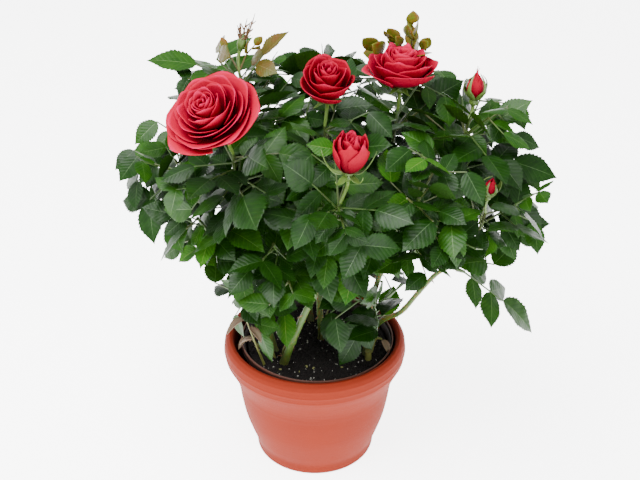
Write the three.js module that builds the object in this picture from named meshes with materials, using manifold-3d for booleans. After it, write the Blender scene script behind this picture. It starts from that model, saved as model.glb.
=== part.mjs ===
// A patio rose in full leaf and bloom, growing in a nursery pot that stands in a clay-coloured cover pot.
// Millimetres, +Z up. The origin is the centre of the cover pot's flat underside; -Y is the bush's front.
import * as THREE from "three";
import { mergeVertices } from "three/addons/utils/BufferGeometryUtils.js";
import Module from "manifold-3d";

const wasm = await Module();
wasm.setup();

// ---------------------------------------------------------------- driving dimensions
const clearance = 0.3; // between neighbouring solids
const potHeight = 110;
const rimRadius = 75; // widest point of the rolled rim
const lipRadius = 67; // mouth of the cover pot
const footRadius = 49.5;
const wall = 2.4;
const potSides = 30;
const linerSides = 24;
const linerRadius = 63.2; // nursery pot at its lip
const linerTop = 107;
const linerWall = 1.4;
const linerOffset = [2, 0.6]; // the nursery pot stands a little off centre
const soilTop = 100;
const buriedLength = 4; // of each cane, cut off again at the soil
const limbSides = 5;
const twigSides = 3;
const leafletLength = 40; // end leaflet of a full-sized leaf
const leafletHalfWidth = 0.37; // these are in leaflet lengths
const widestStation = 0.44;
const leafletFold = 0.05; // how far the edges stand above the midrib
const leafletDroop = 0.1;
const leafThickness = 0.04;
const sepalHalfWidth = 0.08;
const stalkSteps = [9, 20, 14]; // leaf stalk to its first pair, to the second pair, to the end leaflet
const stalkRadius = 0.9;
const endLeafletSink = 0.54; // of the end leaflet, inside the stalk's end
const pairLengths = [0.66, 0.84]; // the two pairs of leaflets, in end leaflets
const pairSpread = 63; // angle between a paired leaflet and the stalk
const pairRoll = 0.1;
const stemRadius = 1.8;
const crownAxis = [18, 0]; // the crown's middle, seen from above
const light = [0, -0.45, 1]; // the way the leaves turn to
const crownFoot = 200; // height at which the crown's leaves begin
const crownDepth = 150;
const goldenAngle = 137.5;

// ---------------------------------------------------------------- small helpers
const vec = (p) => new THREE.Vector3(...p);
const rad = THREE.MathUtils.degToRad;
const lerp = THREE.MathUtils.lerp;
const clamp = THREE.MathUtils.clamp;
const up = new THREE.Vector3(0, 0, 1);
const east = new THREE.Vector3(1, 0, 0);

// Mulberry32: the same seed always gives the same plant.
function seeded(seed) {
  let state = seed >>> 0;
  return () => {
    state = (state + 0x6d2b79f5) >>> 0;
    let t = state;
    t = Math.imul(t ^ (t >>> 15), t | 1);
    t ^= t + Math.imul(t ^ (t >>> 7), t | 61);
    return ((t ^ (t >>> 14)) >>> 0) / 4294967296;
  };
}

function solid(geometry) {
  const bare = geometry.index ? geometry.toNonIndexed() : geometry.clone();
  const places = new THREE.BufferGeometry().setAttribute("position", bare.attributes.position);
  const merged = mergeVertices(places, 1e-4);
  return new wasm.Manifold(
    new wasm.Mesh({
      numProp: 3,
      vertProperties: merged.attributes.position.array,
      triVerts: new Uint32Array(merged.index.array),
    }),
  );
}

function geometryOf(body) {
  const mesh = body.getMesh();
  return new THREE.BufferGeometry()
    .setAttribute("position", new THREE.BufferAttribute(new Float32Array(mesh.vertProperties), 3))
    .setIndex(new THREE.BufferAttribute(new Uint32Array(mesh.triVerts), 1));
}

// A turned body: its profile [radius, height] starts and ends on the axis.
function turned(profile, sides) {
  const geometry = new THREE.LatheGeometry(profile.map(([r, z]) => new THREE.Vector2(r, z)), sides);
  return geometry.rotateX(Math.PI / 2);
}

// The biggest single body of a solid: loose scraps are dropped.
function largest(body) {
  return body.decompose().sort((a, b) => b.volume() - a.volume())[0];
}

// ---------------------------------------------------------------- limbs: canes, boughs, stalks
function stemAxis(shoot) {
  return vec(shoot.tip).sub(vec(shoot.root)).normalize();
}

function smoothPath(points, steps) {
  return new THREE.CatmullRomCurve3(points).getSpacedPoints(steps);
}

// A limb is a cylinder whose rings are laid along a path and taper from one radius to the other.
// The first corner of each ring points along reference, and flare widens the foot.
// An end is square to the path, or to startAxis or endAxis where it faces another limb's end.
function limbGeometry(path, r0, r1, sides, { flare = 0, reference = east, startAxis, endAxis } = {}) {
  const steps = path.length - 1;
  const tube = new THREE.CylinderGeometry(1, 1, 1, sides, steps);
  const position = tube.attributes.position;
  for (let i = 0; i < position.count; i++) {
    const step = Math.round(clamp(position.getY(i) + 0.5, 0, 1) * steps);
    const tangent = path[Math.min(step + 1, steps)].clone().sub(path[Math.max(step - 1, 0)]).normalize();
    if (step === 0 && startAxis) tangent.copy(startAxis);
    if (step === steps && endAxis) tangent.copy(endAxis);
    const first = reference.clone().addScaledVector(tangent, -reference.dot(tangent)).normalize();
    const second = new THREE.Vector3().crossVectors(tangent, first);
    const radius = lerp(r0, r1, step / steps) * (1 + flare * Math.exp((-14 * step) / steps));
    const place = path[step]
      .clone()
      .addScaledVector(first, position.getZ(i) * radius)
      .addScaledVector(second, position.getX(i) * radius);
    position.setXYZ(i, place.x, place.y, place.z);
  }
  return tube;
}

// path holds [x, y, rise above the soil]; r is the radius at the foot and at the tip.
const canes = {
  cane_main: {
    path: [[-25, -28, 0], [-17, -34, 27], [-9, -33, 48], [1, -30, 72], [4, -26, 108]],
    r: [3.2, 2.0],
  },
  cane_left: {
    path: [[-33, -10, 0], [-40, -9, 32], [-53, -6, 66], [-66, -8, 102]],
    r: [2.5, 1.7],
  },
  cane_right: {
    path: [[42, -14, 0], [44, -8, 30], [50, -10, 66], [62, -14, 104]],
    r: [2.6, 1.8],
  },
  cane_arching: {
    path: [[46, 16, 0], [58, 8, 19], [70, 0, 30.5], [85, -5, 55], [97, -10, 74], [105, -12, 81]],
    r: [2.4, 1.7],
  },
  cane_centre: {
    path: [[6, 8, 0], [4, 4, 44], [8, 4, 82], [12, 6, 118]],
    r: [2.8, 2.0],
  },
  cane_back: {
    path: [[-4, 34, 0], [-6, 44, 42], [-4, 54, 82], [0, 62, 116]],
    r: [2.6, 1.8],
  },
};
for (const cane of Object.values(canes)) {
  cane.path = cane.path.map(([x, y, rise]) => vec([x, y, soilTop + rise]));
}

// Each shoot leaves its cane at a share of the cane's length. Its bough runs from there to root, where the
// leaves begin; its leafy stem runs from root to tip. reach is half the size of the space its leaves keep to.
// aims are the outermost leaf tips, which the shoot's first leaves point at; inner leaves follow them.
const shoots = [
  {
    name: "left_front", cane: "cane_left", at: 0.9, inner: 3,
    root: [-58, -32, 236], tip: [-58, -46, 298], reach: [72, 66, 74],
    aims: [
      [-87, -100, 297], [-66, -98, 257], [-85, -70, 245], [-41, -122, 292],
      [-34, -100, 327], [-112, -60, 292],
    ],
  },
  {
    name: "left", cane: "cane_left", at: 1, inner: 5,
    root: [-82, -6, 226], tip: [-104, -4, 268], reach: [62, 62, 66],
    aims: [[-135, -5, 270], [-130, -15, 225], [-132, 10, 292], [-109, 25, 308]],
  },
  {
    name: "left_low", cane: "cane_left", at: 0.84, inner: 2,
    root: [-72, -30, 212], tip: [-88, -44, 246], reach: [62, 56, 36],
    aims: [[-122, -35, 251], [-115, -25, 205], [-92, -66, 216], [-60, -84, 236]],
  },
  {
    name: "left_top", cane: "cane_centre", at: 0.62, inner: 4,
    root: [-40, 12, 262], tip: [-56, 17, 334], reach: [66, 62, 70],
    aims: [[-119, 10, 358], [-104, 30, 326], [-28, 24, 359], [-67, 0, 349]],
  },
  {
    name: "front_centre", cane: "cane_main", at: 0.96, inner: 4,
    root: [6, -46, 224], tip: [19, -72, 272], reach: [66, 66, 66],
    aims: [
      [38, -108, 217], [6, -98, 214], [67, -108, 284], [32, -128, 280],
      [-18, -100, 321], [3, -126, 292],
    ],
  },
  {
    name: "front_left", cane: "cane_main", at: 0.8, inner: 4,
    root: [-18, -50, 204], tip: [-30, -74, 240], reach: [62, 58, 48],
    aims: [[-30, -104, 222], [-56, -98, 222], [-2, -104, 206], [-42, -116, 266]],
  },
  {
    name: "centre_top", cane: "cane_centre", at: 1, inner: 6,
    root: [10, 0, 238], tip: [8, -8, 302], reach: [64, 62, 66],
    aims: [
      [1, 22, 359], [29, 40, 343], [-15, -52, 329], [-32, -62, 327],
      [48, -50, 314], [-11, 20, 343],
    ],
  },
  {
    name: "front_right", cane: "cane_right", at: 0.94, inner: 5,
    root: [60, -32, 222], tip: [76, -60, 268], reach: [68, 66, 68],
    aims: [[103, -88, 271], [98, -78, 305], [83, -95, 247], [62, -76, 314]],
  },
  {
    name: "right_low", cane: "cane_right", at: 0.9, inner: 2,
    root: [76, -30, 204], tip: [94, -46, 236], reach: [62, 56, 36],
    aims: [[76, -84, 213], [101, -62, 203], [130, -50, 202], [46, -78, 222]],
  },
  {
    name: "right_top", cane: "cane_right", at: 1, inner: 5,
    root: [56, 8, 244], tip: [64, 25, 300], reach: [62, 62, 64],
    aims: [
      [74, 46, 368], [93, 62, 334], [115, 52, 322], [36, 44, 348],
      [114, -20, 312], [80, -30, 317],
    ],
  },
  {
    name: "right", cane: "cane_arching", at: 1, inner: 4,
    root: [108, -2, 226], tip: [117, 13, 298], reach: [66, 64, 72],
    aims: [
      [187, -8, 271], [160, 2, 318], [164, 14, 288], [166, -25, 290],
      [137, 32, 319], [138, -55, 281],
    ],
  },
  {
    name: "right_outer", cane: "cane_arching", at: 0.99, inner: 4,
    root: [126, -14, 208], tip: [129, -29, 240], reach: [70, 62, 66],
    aims: [[179, -20, 232], [181, -5, 208], [172, -35, 191], [136, -72, 241]],
  },
  {
    name: "back_left", cane: "cane_back", at: 0.8, inner: 6,
    root: [-42, 58, 238], tip: [-66, 72, 296], reach: [70, 66, 68],
    aims: [[-118, 96, 262], [-70, 132, 264], [-90, 84, 340]],
  },
  {
    name: "back_centre", cane: "cane_back", at: 1, inner: 6,
    root: [2, 72, 242], tip: [6, 86, 304], reach: [68, 66, 68],
    aims: [[8, 146, 262], [-24, 112, 344], [34, 106, 348]],
  },
  {
    name: "back_right", cane: "cane_back", at: 0.88, inner: 6,
    root: [44, 62, 236], tip: [78, 72, 292], reach: [70, 66, 70],
    aims: [[134, 88, 262], [90, 132, 258], [118, 72, 334]],
  },
  {
    name: "back_low_left", cane: "cane_back", at: 0.62, inner: 2,
    root: [-34, 72, 206], tip: [-52, 92, 234], reach: [62, 60, 44],
    aims: [[-92, 112, 214], [-30, 142, 228], [-70, 134, 196]],
  },
  {
    name: "back_low_right", cane: "cane_back", at: 0.7, inner: 2,
    root: [42, 74, 204], tip: [62, 92, 232], reach: [62, 60, 44],
    aims: [[108, 104, 212], [48, 142, 224], [90, 130, 198]],
  },
  {
    name: "low_left", cane: "cane_left", at: 0.4, inner: 2,
    root: [-50, -22, 150], tip: [-58, -30, 172], reach: [56, 52, 56],
    aims: [[-61, -25, 148], [-80, -10, 116], [-42, -40, 136], [-26, -70, 188]],
  },
  {
    name: "low_right", cane: "cane_right", at: 0.3, inner: 1,
    root: [47, -16, 136], tip: [48, -20, 152], reach: [52, 50, 48],
    aims: [[30, -36, 125], [48, -28, 121], [15, -28, 140]],
  },
  {
    name: "low_back", cane: "cane_back", at: 0.36, inner: 3,
    root: [6, 58, 152], tip: [14, 70, 178], reach: [60, 52, 56],
    aims: [[-44, 86, 160], [66, 84, 158]],
  },
  {
    name: "drooping", cane: "cane_arching", at: 1, inner: 0,
    root: [112, -13, 180], tip: [119, -14, 178], reach: [70, 50, 50],
    aims: [[180, -25, 132]],
  },
];

// ---------------------------------------------------------------- flowers
// at is the middle of the flower, face the way it looks, depth its height from base to heart. Its petals
// stand in rings: radius and rim are the outermost ring's half width and its rim's height in depths, and
// heart is the half width of the tightly rolled middle.
const flowers = [
  {
    name: "rose_full_left", shoot: "left_front", at: [-71, -70, 340], face: [-0.337, -0.469, 0.817],
    radius: 31, depth: 26, heart: 11, rings: 3, rim: 0.42, lobes: 5,
  },
  {
    name: "rose_middle", shoot: "centre_top", at: [10, -15, 339], face: [0.02, -0.36, 0.93],
    radius: 20, depth: 29, heart: 9, rings: 2, rim: 0.7, lobes: 5,
  },
  {
    name: "rose_right", shoot: "right_top", at: [66, 25, 331], face: [0.06, 0.02, 1],
    radius: 27, depth: 24, heart: 12, rings: 2, rim: 0.55, lobes: 5,
  },
  {
    name: "rose_half_open", shoot: "front_centre", at: [25, -80, 313], face: [0.06, -0.1, 1],
    radius: 14, depth: 30, heart: 8, rings: 1, rim: 0.86, lobes: 4, sepals: { length: 24, open: true },
  },
  {
    name: "bud_red", shoot: "right", at: [121, 15, 324], face: [0.05, -0.05, 1],
    radius: 8.6, depth: 23, rings: 0, lobes: 3, sepals: { length: 24, open: false },
  },
  {
    name: "bud_small", shoot: "right_outer", at: [131, -31, 263], face: [0.16, -0.1, 1],
    radius: 6.2, depth: 17, rings: 0, lobes: 3, sepals: { length: 18, open: false },
  },
  {
    name: "bud_green", shoot: "left_top", at: [-53, 20, 359], face: [0.25, 0, 1],
    radius: 3.6, depth: 11, rings: 0, lobes: 3, sepals: { length: 33, open: false },
  },
];
for (const flower of flowers) {
  flower.at = vec(flower.at);
  flower.face = vec(flower.face).normalize();
  flower.base = flower.at.clone().addScaledVector(flower.face, -flower.depth * 0.5);
  flower.carrier = shoots.find((shoot) => shoot.name === flower.shoot);
}

// ---------------------------------------------------------------- the rule that places the leaves
const gridAlong = [0.04, 0.16, 0.28, 0.4, 0.52, 0.64, 0.76, 0.88, 0.99]; // where a leaflet is tested
const gridAcross = [-1, -0.67, -0.33, 0, 0.33, 0.67, 1];
const tries = 14;
const limbSpacing = 3; // between the points at which a limb is tested
const gapToOthers = 2.6; // between leaflets of different leaves
const gapToLimbs = 2.2;
const gapToPot = 3;
const insideRims = 56;
const lowestLeaf = 40;
const leafSizes = [0.62, 1.15]; // smallest and largest leaf that an aim may ask for

function sampled(path, r0, r1, spacing) {
  const curve = new THREE.CurvePath();
  for (let i = 1; i < path.length; i++) curve.add(new THREE.LineCurve3(path[i - 1], path[i]));
  const count = Math.ceil(curve.getLength() / spacing);
  return Array.from({ length: count + 1 }, (_, i) => {
    return { p: curve.getPointAt(i / count), r: lerp(r0, r1, i / count) };
  });
}

// Half width of a leaflet at a share of its length: widest a little below the middle, pointed at the tip.
function halfWidth(share) {
  return leafletHalfWidth * Math.sin(Math.PI * Math.pow(clamp(share, 0, 1), 0.82)) ** 0.8;
}

// How far the blade lies above its base plane, along its length and across it.
function bladeLift(share, across) {
  return (leafletFold * across) / leafletHalfWidth - leafletDroop * share * share;
}

function makeLeaflet(base, direction, normal, length) {
  const side = new THREE.Vector3().crossVectors(direction, normal).normalize();
  const leaflet = { base, direction, normal, side, length, samples: [] };
  for (const share of gridAlong)
    for (const across of gridAcross) {
      const wide = across * halfWidth(share);
      leaflet.samples.push(onLeaflet(leaflet, share, wide, bladeLift(share, Math.abs(wide))));
    }
  leaflet.middle = onLeaflet(leaflet, 0.5, 0, 0);
  return leaflet;
}

function onLeaflet({ base, direction, normal, side, length }, share, across, lift) {
  return base
    .clone()
    .addScaledVector(direction, share * length)
    .addScaledVector(side, across * length)
    .addScaledVector(normal, lift * length);
}

// A compound leaf: a straight stalk with two pairs of leaflets and one at its end. droop lowers its end.
function makeLeaf(random, origin, direction, size, droop) {
  const steps = stalkSteps.map((step) => step * size);
  const total = steps[0] + steps[1] + steps[2];
  const forward = direction.clone().addScaledVector(up, -droop).normalize();
  const at = (distance) => origin.clone().addScaledVector(forward, distance);
  const outward = new THREE.Vector3(origin.x - crownAxis[0], origin.y - crownAxis[1], 0);
  outward.divideScalar(Math.max(outward.length(), 30));
  const height = clamp((origin.z - crownFoot) / crownDepth, 0, 1);
  const facing = vec(light)
    .addScaledVector(outward, lerp(0.8, 0.3, height))
    .add(new THREE.Vector3(random() - 0.5, random() - 0.5, 0).multiplyScalar(0.6));
  const normal = facing.addScaledVector(forward, -facing.dot(forward)).normalize();
  const side = new THREE.Vector3().crossVectors(forward, normal).normalize();
  const leaflets = [];
  const add = (distance, turn, length, roll) => {
    const lean = turn + (random() - 0.5) * 0.24;
    const pointing = forward
      .clone()
      .multiplyScalar(Math.cos(lean))
      .addScaledVector(side, Math.sin(lean))
      .addScaledVector(up, -0.1 - 0.18 * random())
      .normalize();
    const face = normal
      .clone()
      .addScaledVector(side, roll + (random() - 0.5) * 0.4)
      .addScaledVector(forward, (random() - 0.5) * 0.4);
    face.addScaledVector(pointing, -face.dot(pointing)).normalize();
    leaflets.push(makeLeaflet(at(distance), pointing, face, length));
  };
  add(total - endLeafletSink, 0, leafletLength * size * (0.95 + 0.15 * random()), 0);
  for (const pair of [1, 0]) {
    const distance = pair ? steps[0] + steps[1] : steps[0];
    for (const hand of [-1, 1]) {
      const length = leafletLength * size * pairLengths[pair] * (0.92 + 0.16 * random());
      add(distance, hand * rad(pairSpread), length, -hand * pairRoll);
    }
  }
  return { stalk: [origin, at(total)], normal, leaflets };
}

function insideSpace(point, space) {
  const dx = (point.x - space.centre.x) / space.reach[0];
  const dy = (point.y - space.centre.y) / space.reach[1];
  const dz = (point.z - space.centre.z) / space.reach[2];
  return dx * dx + dy * dy + dz * dz < 1;
}

// Leaves stay over the soil, over the rims or beside the pot, and well above what the pot stands on.
function clearOfPot(point) {
  const radius = Math.hypot(point.x, point.y);
  if (radius < insideRims) return point.z > soilTop + gapToPot;
  return point.z > (radius > rimRadius + gapToPot ? lowestLeaf : potHeight + gapToPot);
}

// Whether a point lies closer than gap to a leaflet's blade.
function touchesLeaflet(point, leaflet, gap) {
  const offset = point.clone().sub(leaflet.base).divideScalar(leaflet.length);
  const margin = gap / leaflet.length;
  const along = offset.dot(leaflet.direction);
  if (along < -margin || along > 1 + margin) return false;
  const across = Math.abs(offset.dot(leaflet.side));
  if (across > halfWidth(along) + margin) return false;
  return Math.abs(offset.dot(leaflet.normal) - bladeLift(along, across)) < margin;
}

function clearOfLeaflets(leaflet, placed, gap) {
  return placed.every((other) => {
    if (leaflet.middle.distanceTo(other.middle) > (leaflet.length + other.length) * 0.62 + gap) return true;
    return (
      !leaflet.samples.some((point) => touchesLeaflet(point, other, gap)) &&
      !other.samples.some((point) => touchesLeaflet(point, leaflet, gap))
    );
  });
}

function clearOfLimbs(points, limbs, gap) {
  return limbs.every(({ p, r }) => points.every((point) => point.distanceTo(p) > r + gap));
}

function clearOfFlowers(points) {
  return flowers.every((flower) =>
    points.every((point) => {
      const offset = point.clone().sub(flower.at);
      const high = offset.dot(flower.face);
      const wide = Math.sqrt(Math.max(offset.lengthSq() - high * high, 0));
      return (wide / (flower.radius + 3)) ** 2 + (high / (flower.depth * 0.62 + 2)) ** 2 > 1;
    }),
  );
}

// A new leaf stalk stays clear of limbs, flowers, other stalks and every leaflet already there.
function stalkIsFree(points, plantSoFar) {
  const touches = (leaflet) => points.some((point) => touchesLeaflet(point, leaflet, gapToLimbs));
  return (
    points.every(clearOfPot) &&
    clearOfFlowers(points) &&
    clearOfLimbs(points, plantSoFar.limbs, gapToLimbs) &&
    clearOfLimbs(points, plantSoFar.stalks, gapToLimbs) &&
    !plantSoFar.leaflets.some(touches)
  );
}

function leafletIsFree(leaflet, space, plantSoFar) {
  return (
    leaflet.samples.every((point) => (!space || insideSpace(point, space)) && clearOfPot(point)) &&
    clearOfLimbs(leaflet.samples, plantSoFar.limbs, gapToLimbs) &&
    clearOfLimbs(leaflet.samples, plantSoFar.stalks, gapToLimbs) &&
    clearOfFlowers(leaflet.samples) &&
    clearOfLeaflets(leaflet, plantSoFar.leaflets, gapToOthers)
  );
}

// Leaves of one shoot: each is tried several times, and the try that keeps most of its leaflets grows.
function growShoot(shoot, number, plantSoFar) {
  const [root, tip] = [vec(shoot.root), vec(shoot.tip)];
  const space = { centre: root.clone().lerp(tip, 0.55), reach: shoot.reach };
  const axis = tip.clone().sub(root).normalize();
  const across = new THREE.Vector3().crossVectors(axis, new THREE.Vector3(0, 1, 0)).normalize();
  const other = new THREE.Vector3().crossVectors(axis, across);
  const wholeReach = stalkSteps[0] + stalkSteps[1] + stalkSteps[2] + leafletLength;
  const leaves = [];
  const count = shoot.aims.length + shoot.inner;
  for (let i = 0; i < count; i++) {
    let best = null;
    for (let attempt = 0; attempt < tries && best?.leaflets.length !== 5; attempt++) {
      const random = seeded(number * 1000 + i * 20 + attempt);
      const aim = shoot.aims[i];
      const share = aim
        ? 0.25 + 0.65 * random()
        : clamp((i - shoot.aims.length + random()) / shoot.inner, 0.06, 0.94);
      const origin = root.clone().lerp(tip, share);
      const direction = new THREE.Vector3();
      let size = lerp(1.02, 0.86, share) * (0.92 + 0.16 * random());
      if (aim) {
        direction.subVectors(vec(aim), origin);
        size = clamp(direction.length() / wholeReach, ...leafSizes);
        direction.normalize().addScaledVector(up, 0.1);
      } else {
        const turn = rad(goldenAngle * i + 51 * attempt + 40 * number);
        const lift = rad(42 + 36 * random());
        direction
          .copy(axis)
          .multiplyScalar(Math.cos(lift))
          .addScaledVector(across, Math.cos(turn) * Math.sin(lift))
          .addScaledVector(other, Math.sin(turn) * Math.sin(lift));
      }
      const droop = aim ? 0.1 : 0.14 + 0.14 * random();
      const leaf = makeLeaf(random, origin, direction.normalize(), size, droop);
      const stalkPoints = sampled(leaf.stalk, stalkRadius, stalkRadius, limbSpacing)
        .slice(2) // the first two lie in the stem
        .map((sample) => sample.p);
      if (!stalkIsFree(stalkPoints, plantSoFar)) continue;
      const within = aim ? null : space; // a leaf that reaches for an aim may leave its shoot's space
      leaf.leaflets = leaf.leaflets.filter((leaflet) => leafletIsFree(leaflet, within, plantSoFar));
      if (!best || leaf.leaflets.length > best.leaflets.length) best = leaf;
    }
    if (!best || best.leaflets.length < 2) continue;
    plantSoFar.leaflets.push(...best.leaflets);
    plantSoFar.stalks.push(...sampled(best.stalk, stalkRadius, stalkRadius, limbSpacing));
    leaves.push(best);
  }
  return leaves;
}

// ---------------------------------------------------------------- solids of leaves and flowers
// A leaflet is a four-sided double pyramid: its rim is the leaflet's outline, its poles the two faces of
// the blade. sink moves its base back into what carries it.
function leafletSolid(leaflet, wide = leafletHalfWidth, sink = 0) {
  const blade = new THREE.OctahedronGeometry(1);
  const position = blade.attributes.position;
  for (let i = 0; i < position.count; i++) {
    const [x, y, z] = [position.getX(i), position.getY(i), position.getZ(i)].map(Math.round);
    const share = [-sink / leaflet.length, widestStation, 1][x + 1];
    const lift = z ? leafletFold : (y * leafThickness) / 2;
    const place = onLeaflet(leaflet, share, z * wide, lift - leafletDroop * share * share);
    position.setXYZ(i, place.x, place.y, place.z);
  }
  return solid(blade);
}

function leafSolids({ stalk, normal, leaflets }) {
  return [
    solid(limbGeometry(stalk, stalkRadius, stalkRadius, twigSides, { reference: normal })).simplify(1e-3),
    ...leaflets.map((leaflet) => leafletSolid(leaflet)),
  ];
}

// The rounded hip under a flower, and its neck in hip radii.
const hipOf = (radius) => Math.min(radius * 0.42, 4);
const hipNeck = 0.7;
const flowerStalk = [1.2, 1.4]; // radii at its foot and under the hip

// A bloom is one turned body with lobed rims: its petals' rings step inwards and upwards to the rolled heart.
// A bud is the same body without rings.
function bloomGeometry({ radius, depth, heart, rings, rim, lobes }) {
  const hip = hipOf(radius);
  const profile = [[0, -5], [hip, -3.4], [hip * hipNeck, 0]];
  const rims = [];
  for (let ring = 0; ring < rings; ring++) {
    const share = ring / rings;
    const ringRadius = lerp(radius, heart, share);
    const nextRadius = lerp(radius, heart, share + 1 / rings);
    const rimHeight = depth * lerp(rim, 1, Math.pow(share, 0.8));
    if (ring === 0) profile.push([ringRadius * 0.62, rimHeight * 0.42]);
    rims.push(profile.length);
    profile.push([ringRadius, rimHeight], [lerp(ringRadius, nextRadius, 0.75), rimHeight - depth * 0.1]);
  }
  if (rings) profile.push([heart, depth * 0.92], [heart * 0.55, depth], [0, depth * 0.9]);
  else {
    profile.push([radius * 0.62, depth * 0.18], [radius, depth * 0.46]);
    profile.push([radius * 0.62, depth * 0.8], [0, depth]);
  }
  const bloom = turned(profile, lobes * (rings ? 3 : 2));
  const position = bloom.attributes.position;
  for (let i = 0; i < position.count; i++) {
    const point = i % profile.length;
    const phase = rims.indexOf(point) % 2 ? Math.PI : 0;
    const lobe = Math.cos(Math.atan2(position.getY(i), position.getX(i)) * lobes + phase);
    const swell = 1 + (rims.includes(point) ? 0.1 : 0.02) * lobe; // rims are wavier than the rest
    position.setXYZ(i, position.getX(i) * swell, position.getY(i) * swell, position.getZ(i));
  }
  return bloom;
}

// Five narrow sepals round the flower's base: spread wide and hanging, or standing round a bud.
function sepalsOf({ face, base, radius, sepals }) {
  if (!sepals) return [];
  const eastward = east.clone().addScaledVector(face, -east.dot(face)).normalize();
  const north = new THREE.Vector3().crossVectors(face, eastward);
  const [outward, upward] = sepals.open ? [1, -0.5] : [0.8, 1];
  return Array.from({ length: 5 }, (_, i) => {
    const turn = rad(72 * i + 20);
    const away = eastward.clone().multiplyScalar(Math.cos(turn)).addScaledVector(north, Math.sin(turn));
    const direction = away.clone().multiplyScalar(outward).addScaledVector(face, upward).normalize();
    const side = new THREE.Vector3().crossVectors(face, away);
    const normal = new THREE.Vector3().crossVectors(side, direction);
    const root = base.clone().addScaledVector(away, hipOf(radius) * hipNeck);
    return { base: root, direction, normal, side, length: sepals.length };
  });
}

// Flower stalk and bloom are one body; the stalk starts a clearance past the tip of the shoot's leafy stem.
function flowerSolid(flower) {
  const startAxis = stemAxis(flower.carrier);
  const start = vec(flower.carrier.tip).addScaledVector(startAxis, clearance);
  const neck = flower.base.clone().addScaledVector(flower.face, -9);
  const sunk = flower.base.clone().addScaledVector(flower.face, -2);
  const bloom = bloomGeometry(flower);
  bloom.applyQuaternion(new THREE.Quaternion().setFromUnitVectors(up, flower.face));
  bloom.translate(flower.base.x, flower.base.y, flower.base.z);
  const stalk = limbGeometry(smoothPath([start, neck, sunk], 3), ...flowerStalk, 4, { startAxis });
  const sepals = sepalsOf(flower).map((sepal) => leafletSolid(sepal, sepalHalfWidth, 1.5));
  return largest(wasm.Manifold.union([solid(bloom), solid(stalk), ...sepals]));
}

// ---------------------------------------------------------------- pots and soil

const floorThickness = 3;
const potProfile = [
  [0, 0],
  [footRadius - 2, 0],
  [footRadius + 0.6, 4],
  [53.7, 19.5],
  [60.4, 42],
  [64, 66],
  [68.4, 80],
  [rimRadius - 0.8, 94],
  [rimRadius, 101],
  [rimRadius - 1.8, 107],
  [rimRadius - 4.5, potHeight],
  [lipRadius + 1, potHeight - 0.4],
  [lipRadius, potHeight - 3],
  [65.4, 92],
  [61.6, 64],
  [51.2, 19.5],
  [footRadius - wall - 1, floorThickness],
  [0, floorThickness],
];
const linerFloor = floorThickness + clearance;
const linerFoot = 42;
const linerStep = linerRadius - 3; // the lip stands out from the body by 3
const linerProfile = [
  [0, linerFloor],
  [linerFoot, linerFloor],
  [linerStep, linerTop - 8],
  [linerRadius, linerTop - 6],
  [linerRadius, linerTop],
  [linerRadius - linerWall, linerTop],
  [linerStep - linerWall, linerTop - 8],
  [linerFoot - linerWall, linerFloor + linerWall],
  [0, linerFloor + linerWall],
];
const soilFloor = linerFloor + linerWall + clearance;
const soilProfile = [
  [0, soilFloor],
  [linerFoot - linerWall - clearance, soilFloor],
  [linerStep - linerWall - clearance - 0.6, soilTop - 1.5],
  [linerStep - linerWall - 5, soilTop],
  [0, soilTop],
];

// ---------------------------------------------------------------- assembly
const plant = new THREE.Group();
const bark = new THREE.MeshStandardMaterial({ color: 0x6f8f3a, roughness: 0.6, metalness: 0 });
const foliage = new THREE.MeshStandardMaterial({ color: 0x1f5a22, roughness: 0.5, metalness: 0 });
const petal = new THREE.MeshStandardMaterial({ color: 0xc4061f, roughness: 0.55, metalness: 0 });
const clay = new THREE.MeshStandardMaterial({ color: 0xc4654a, roughness: 0.7, metalness: 0 });
const nurseryPlastic = new THREE.MeshStandardMaterial({ color: 0x4a2620, roughness: 0.6, metalness: 0 });
const peat = new THREE.MeshStandardMaterial({ color: 0x171310, roughness: 0.95, metalness: 0 });

function addNode(name, geometry, material) {
  const mesh = new THREE.Mesh(geometry, material);
  mesh.name = name;
  plant.add(mesh);
  return mesh;
}

addNode("cover_pot", turned(potProfile, potSides), clay);
addNode("nursery_pot", turned(linerProfile, linerSides), nurseryPlastic).position.set(...linerOffset, 0);
addNode("soil", turned(soilProfile, linerSides), peat).position.set(...linerOffset, 0);

// Limbs are made one after another, and each is cut back from the ones before it by the clearance.
// Canes start below the soil's top and are cut flat there.
const plantSoFar = { limbs: [], stalks: [], leaflets: [] };
const soilRoomTop = soilTop + clearance;
const soilRoom = turned([[0, 0], [linerRadius, 0], [linerRadius, soilRoomTop], [0, soilRoomTop]], 8);
const limbRooms = [solid(soilRoom)];
function addLimb(name, path, [r0, r1], options) {
  let body = solid(limbGeometry(path, r0, r1, limbSides, options));
  for (const room of limbRooms) body = body.subtract(room);
  limbRooms.push(solid(limbGeometry(path, r0 + clearance, r1 + clearance, limbSides, options)));
  plantSoFar.limbs.push(...sampled(path, r0, r1, limbSpacing));
  addNode(name, geometryOf(largest(body)), bark);
}

for (const [name, { path, r }] of Object.entries(canes)) {
  const buried = path[0].clone().sub(path[1]).setLength(buriedLength).add(path[0]);
  addLimb(name, [buried, ...smoothPath(path, path.length + 1)], r, { flare: 0.35 });
}

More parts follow.
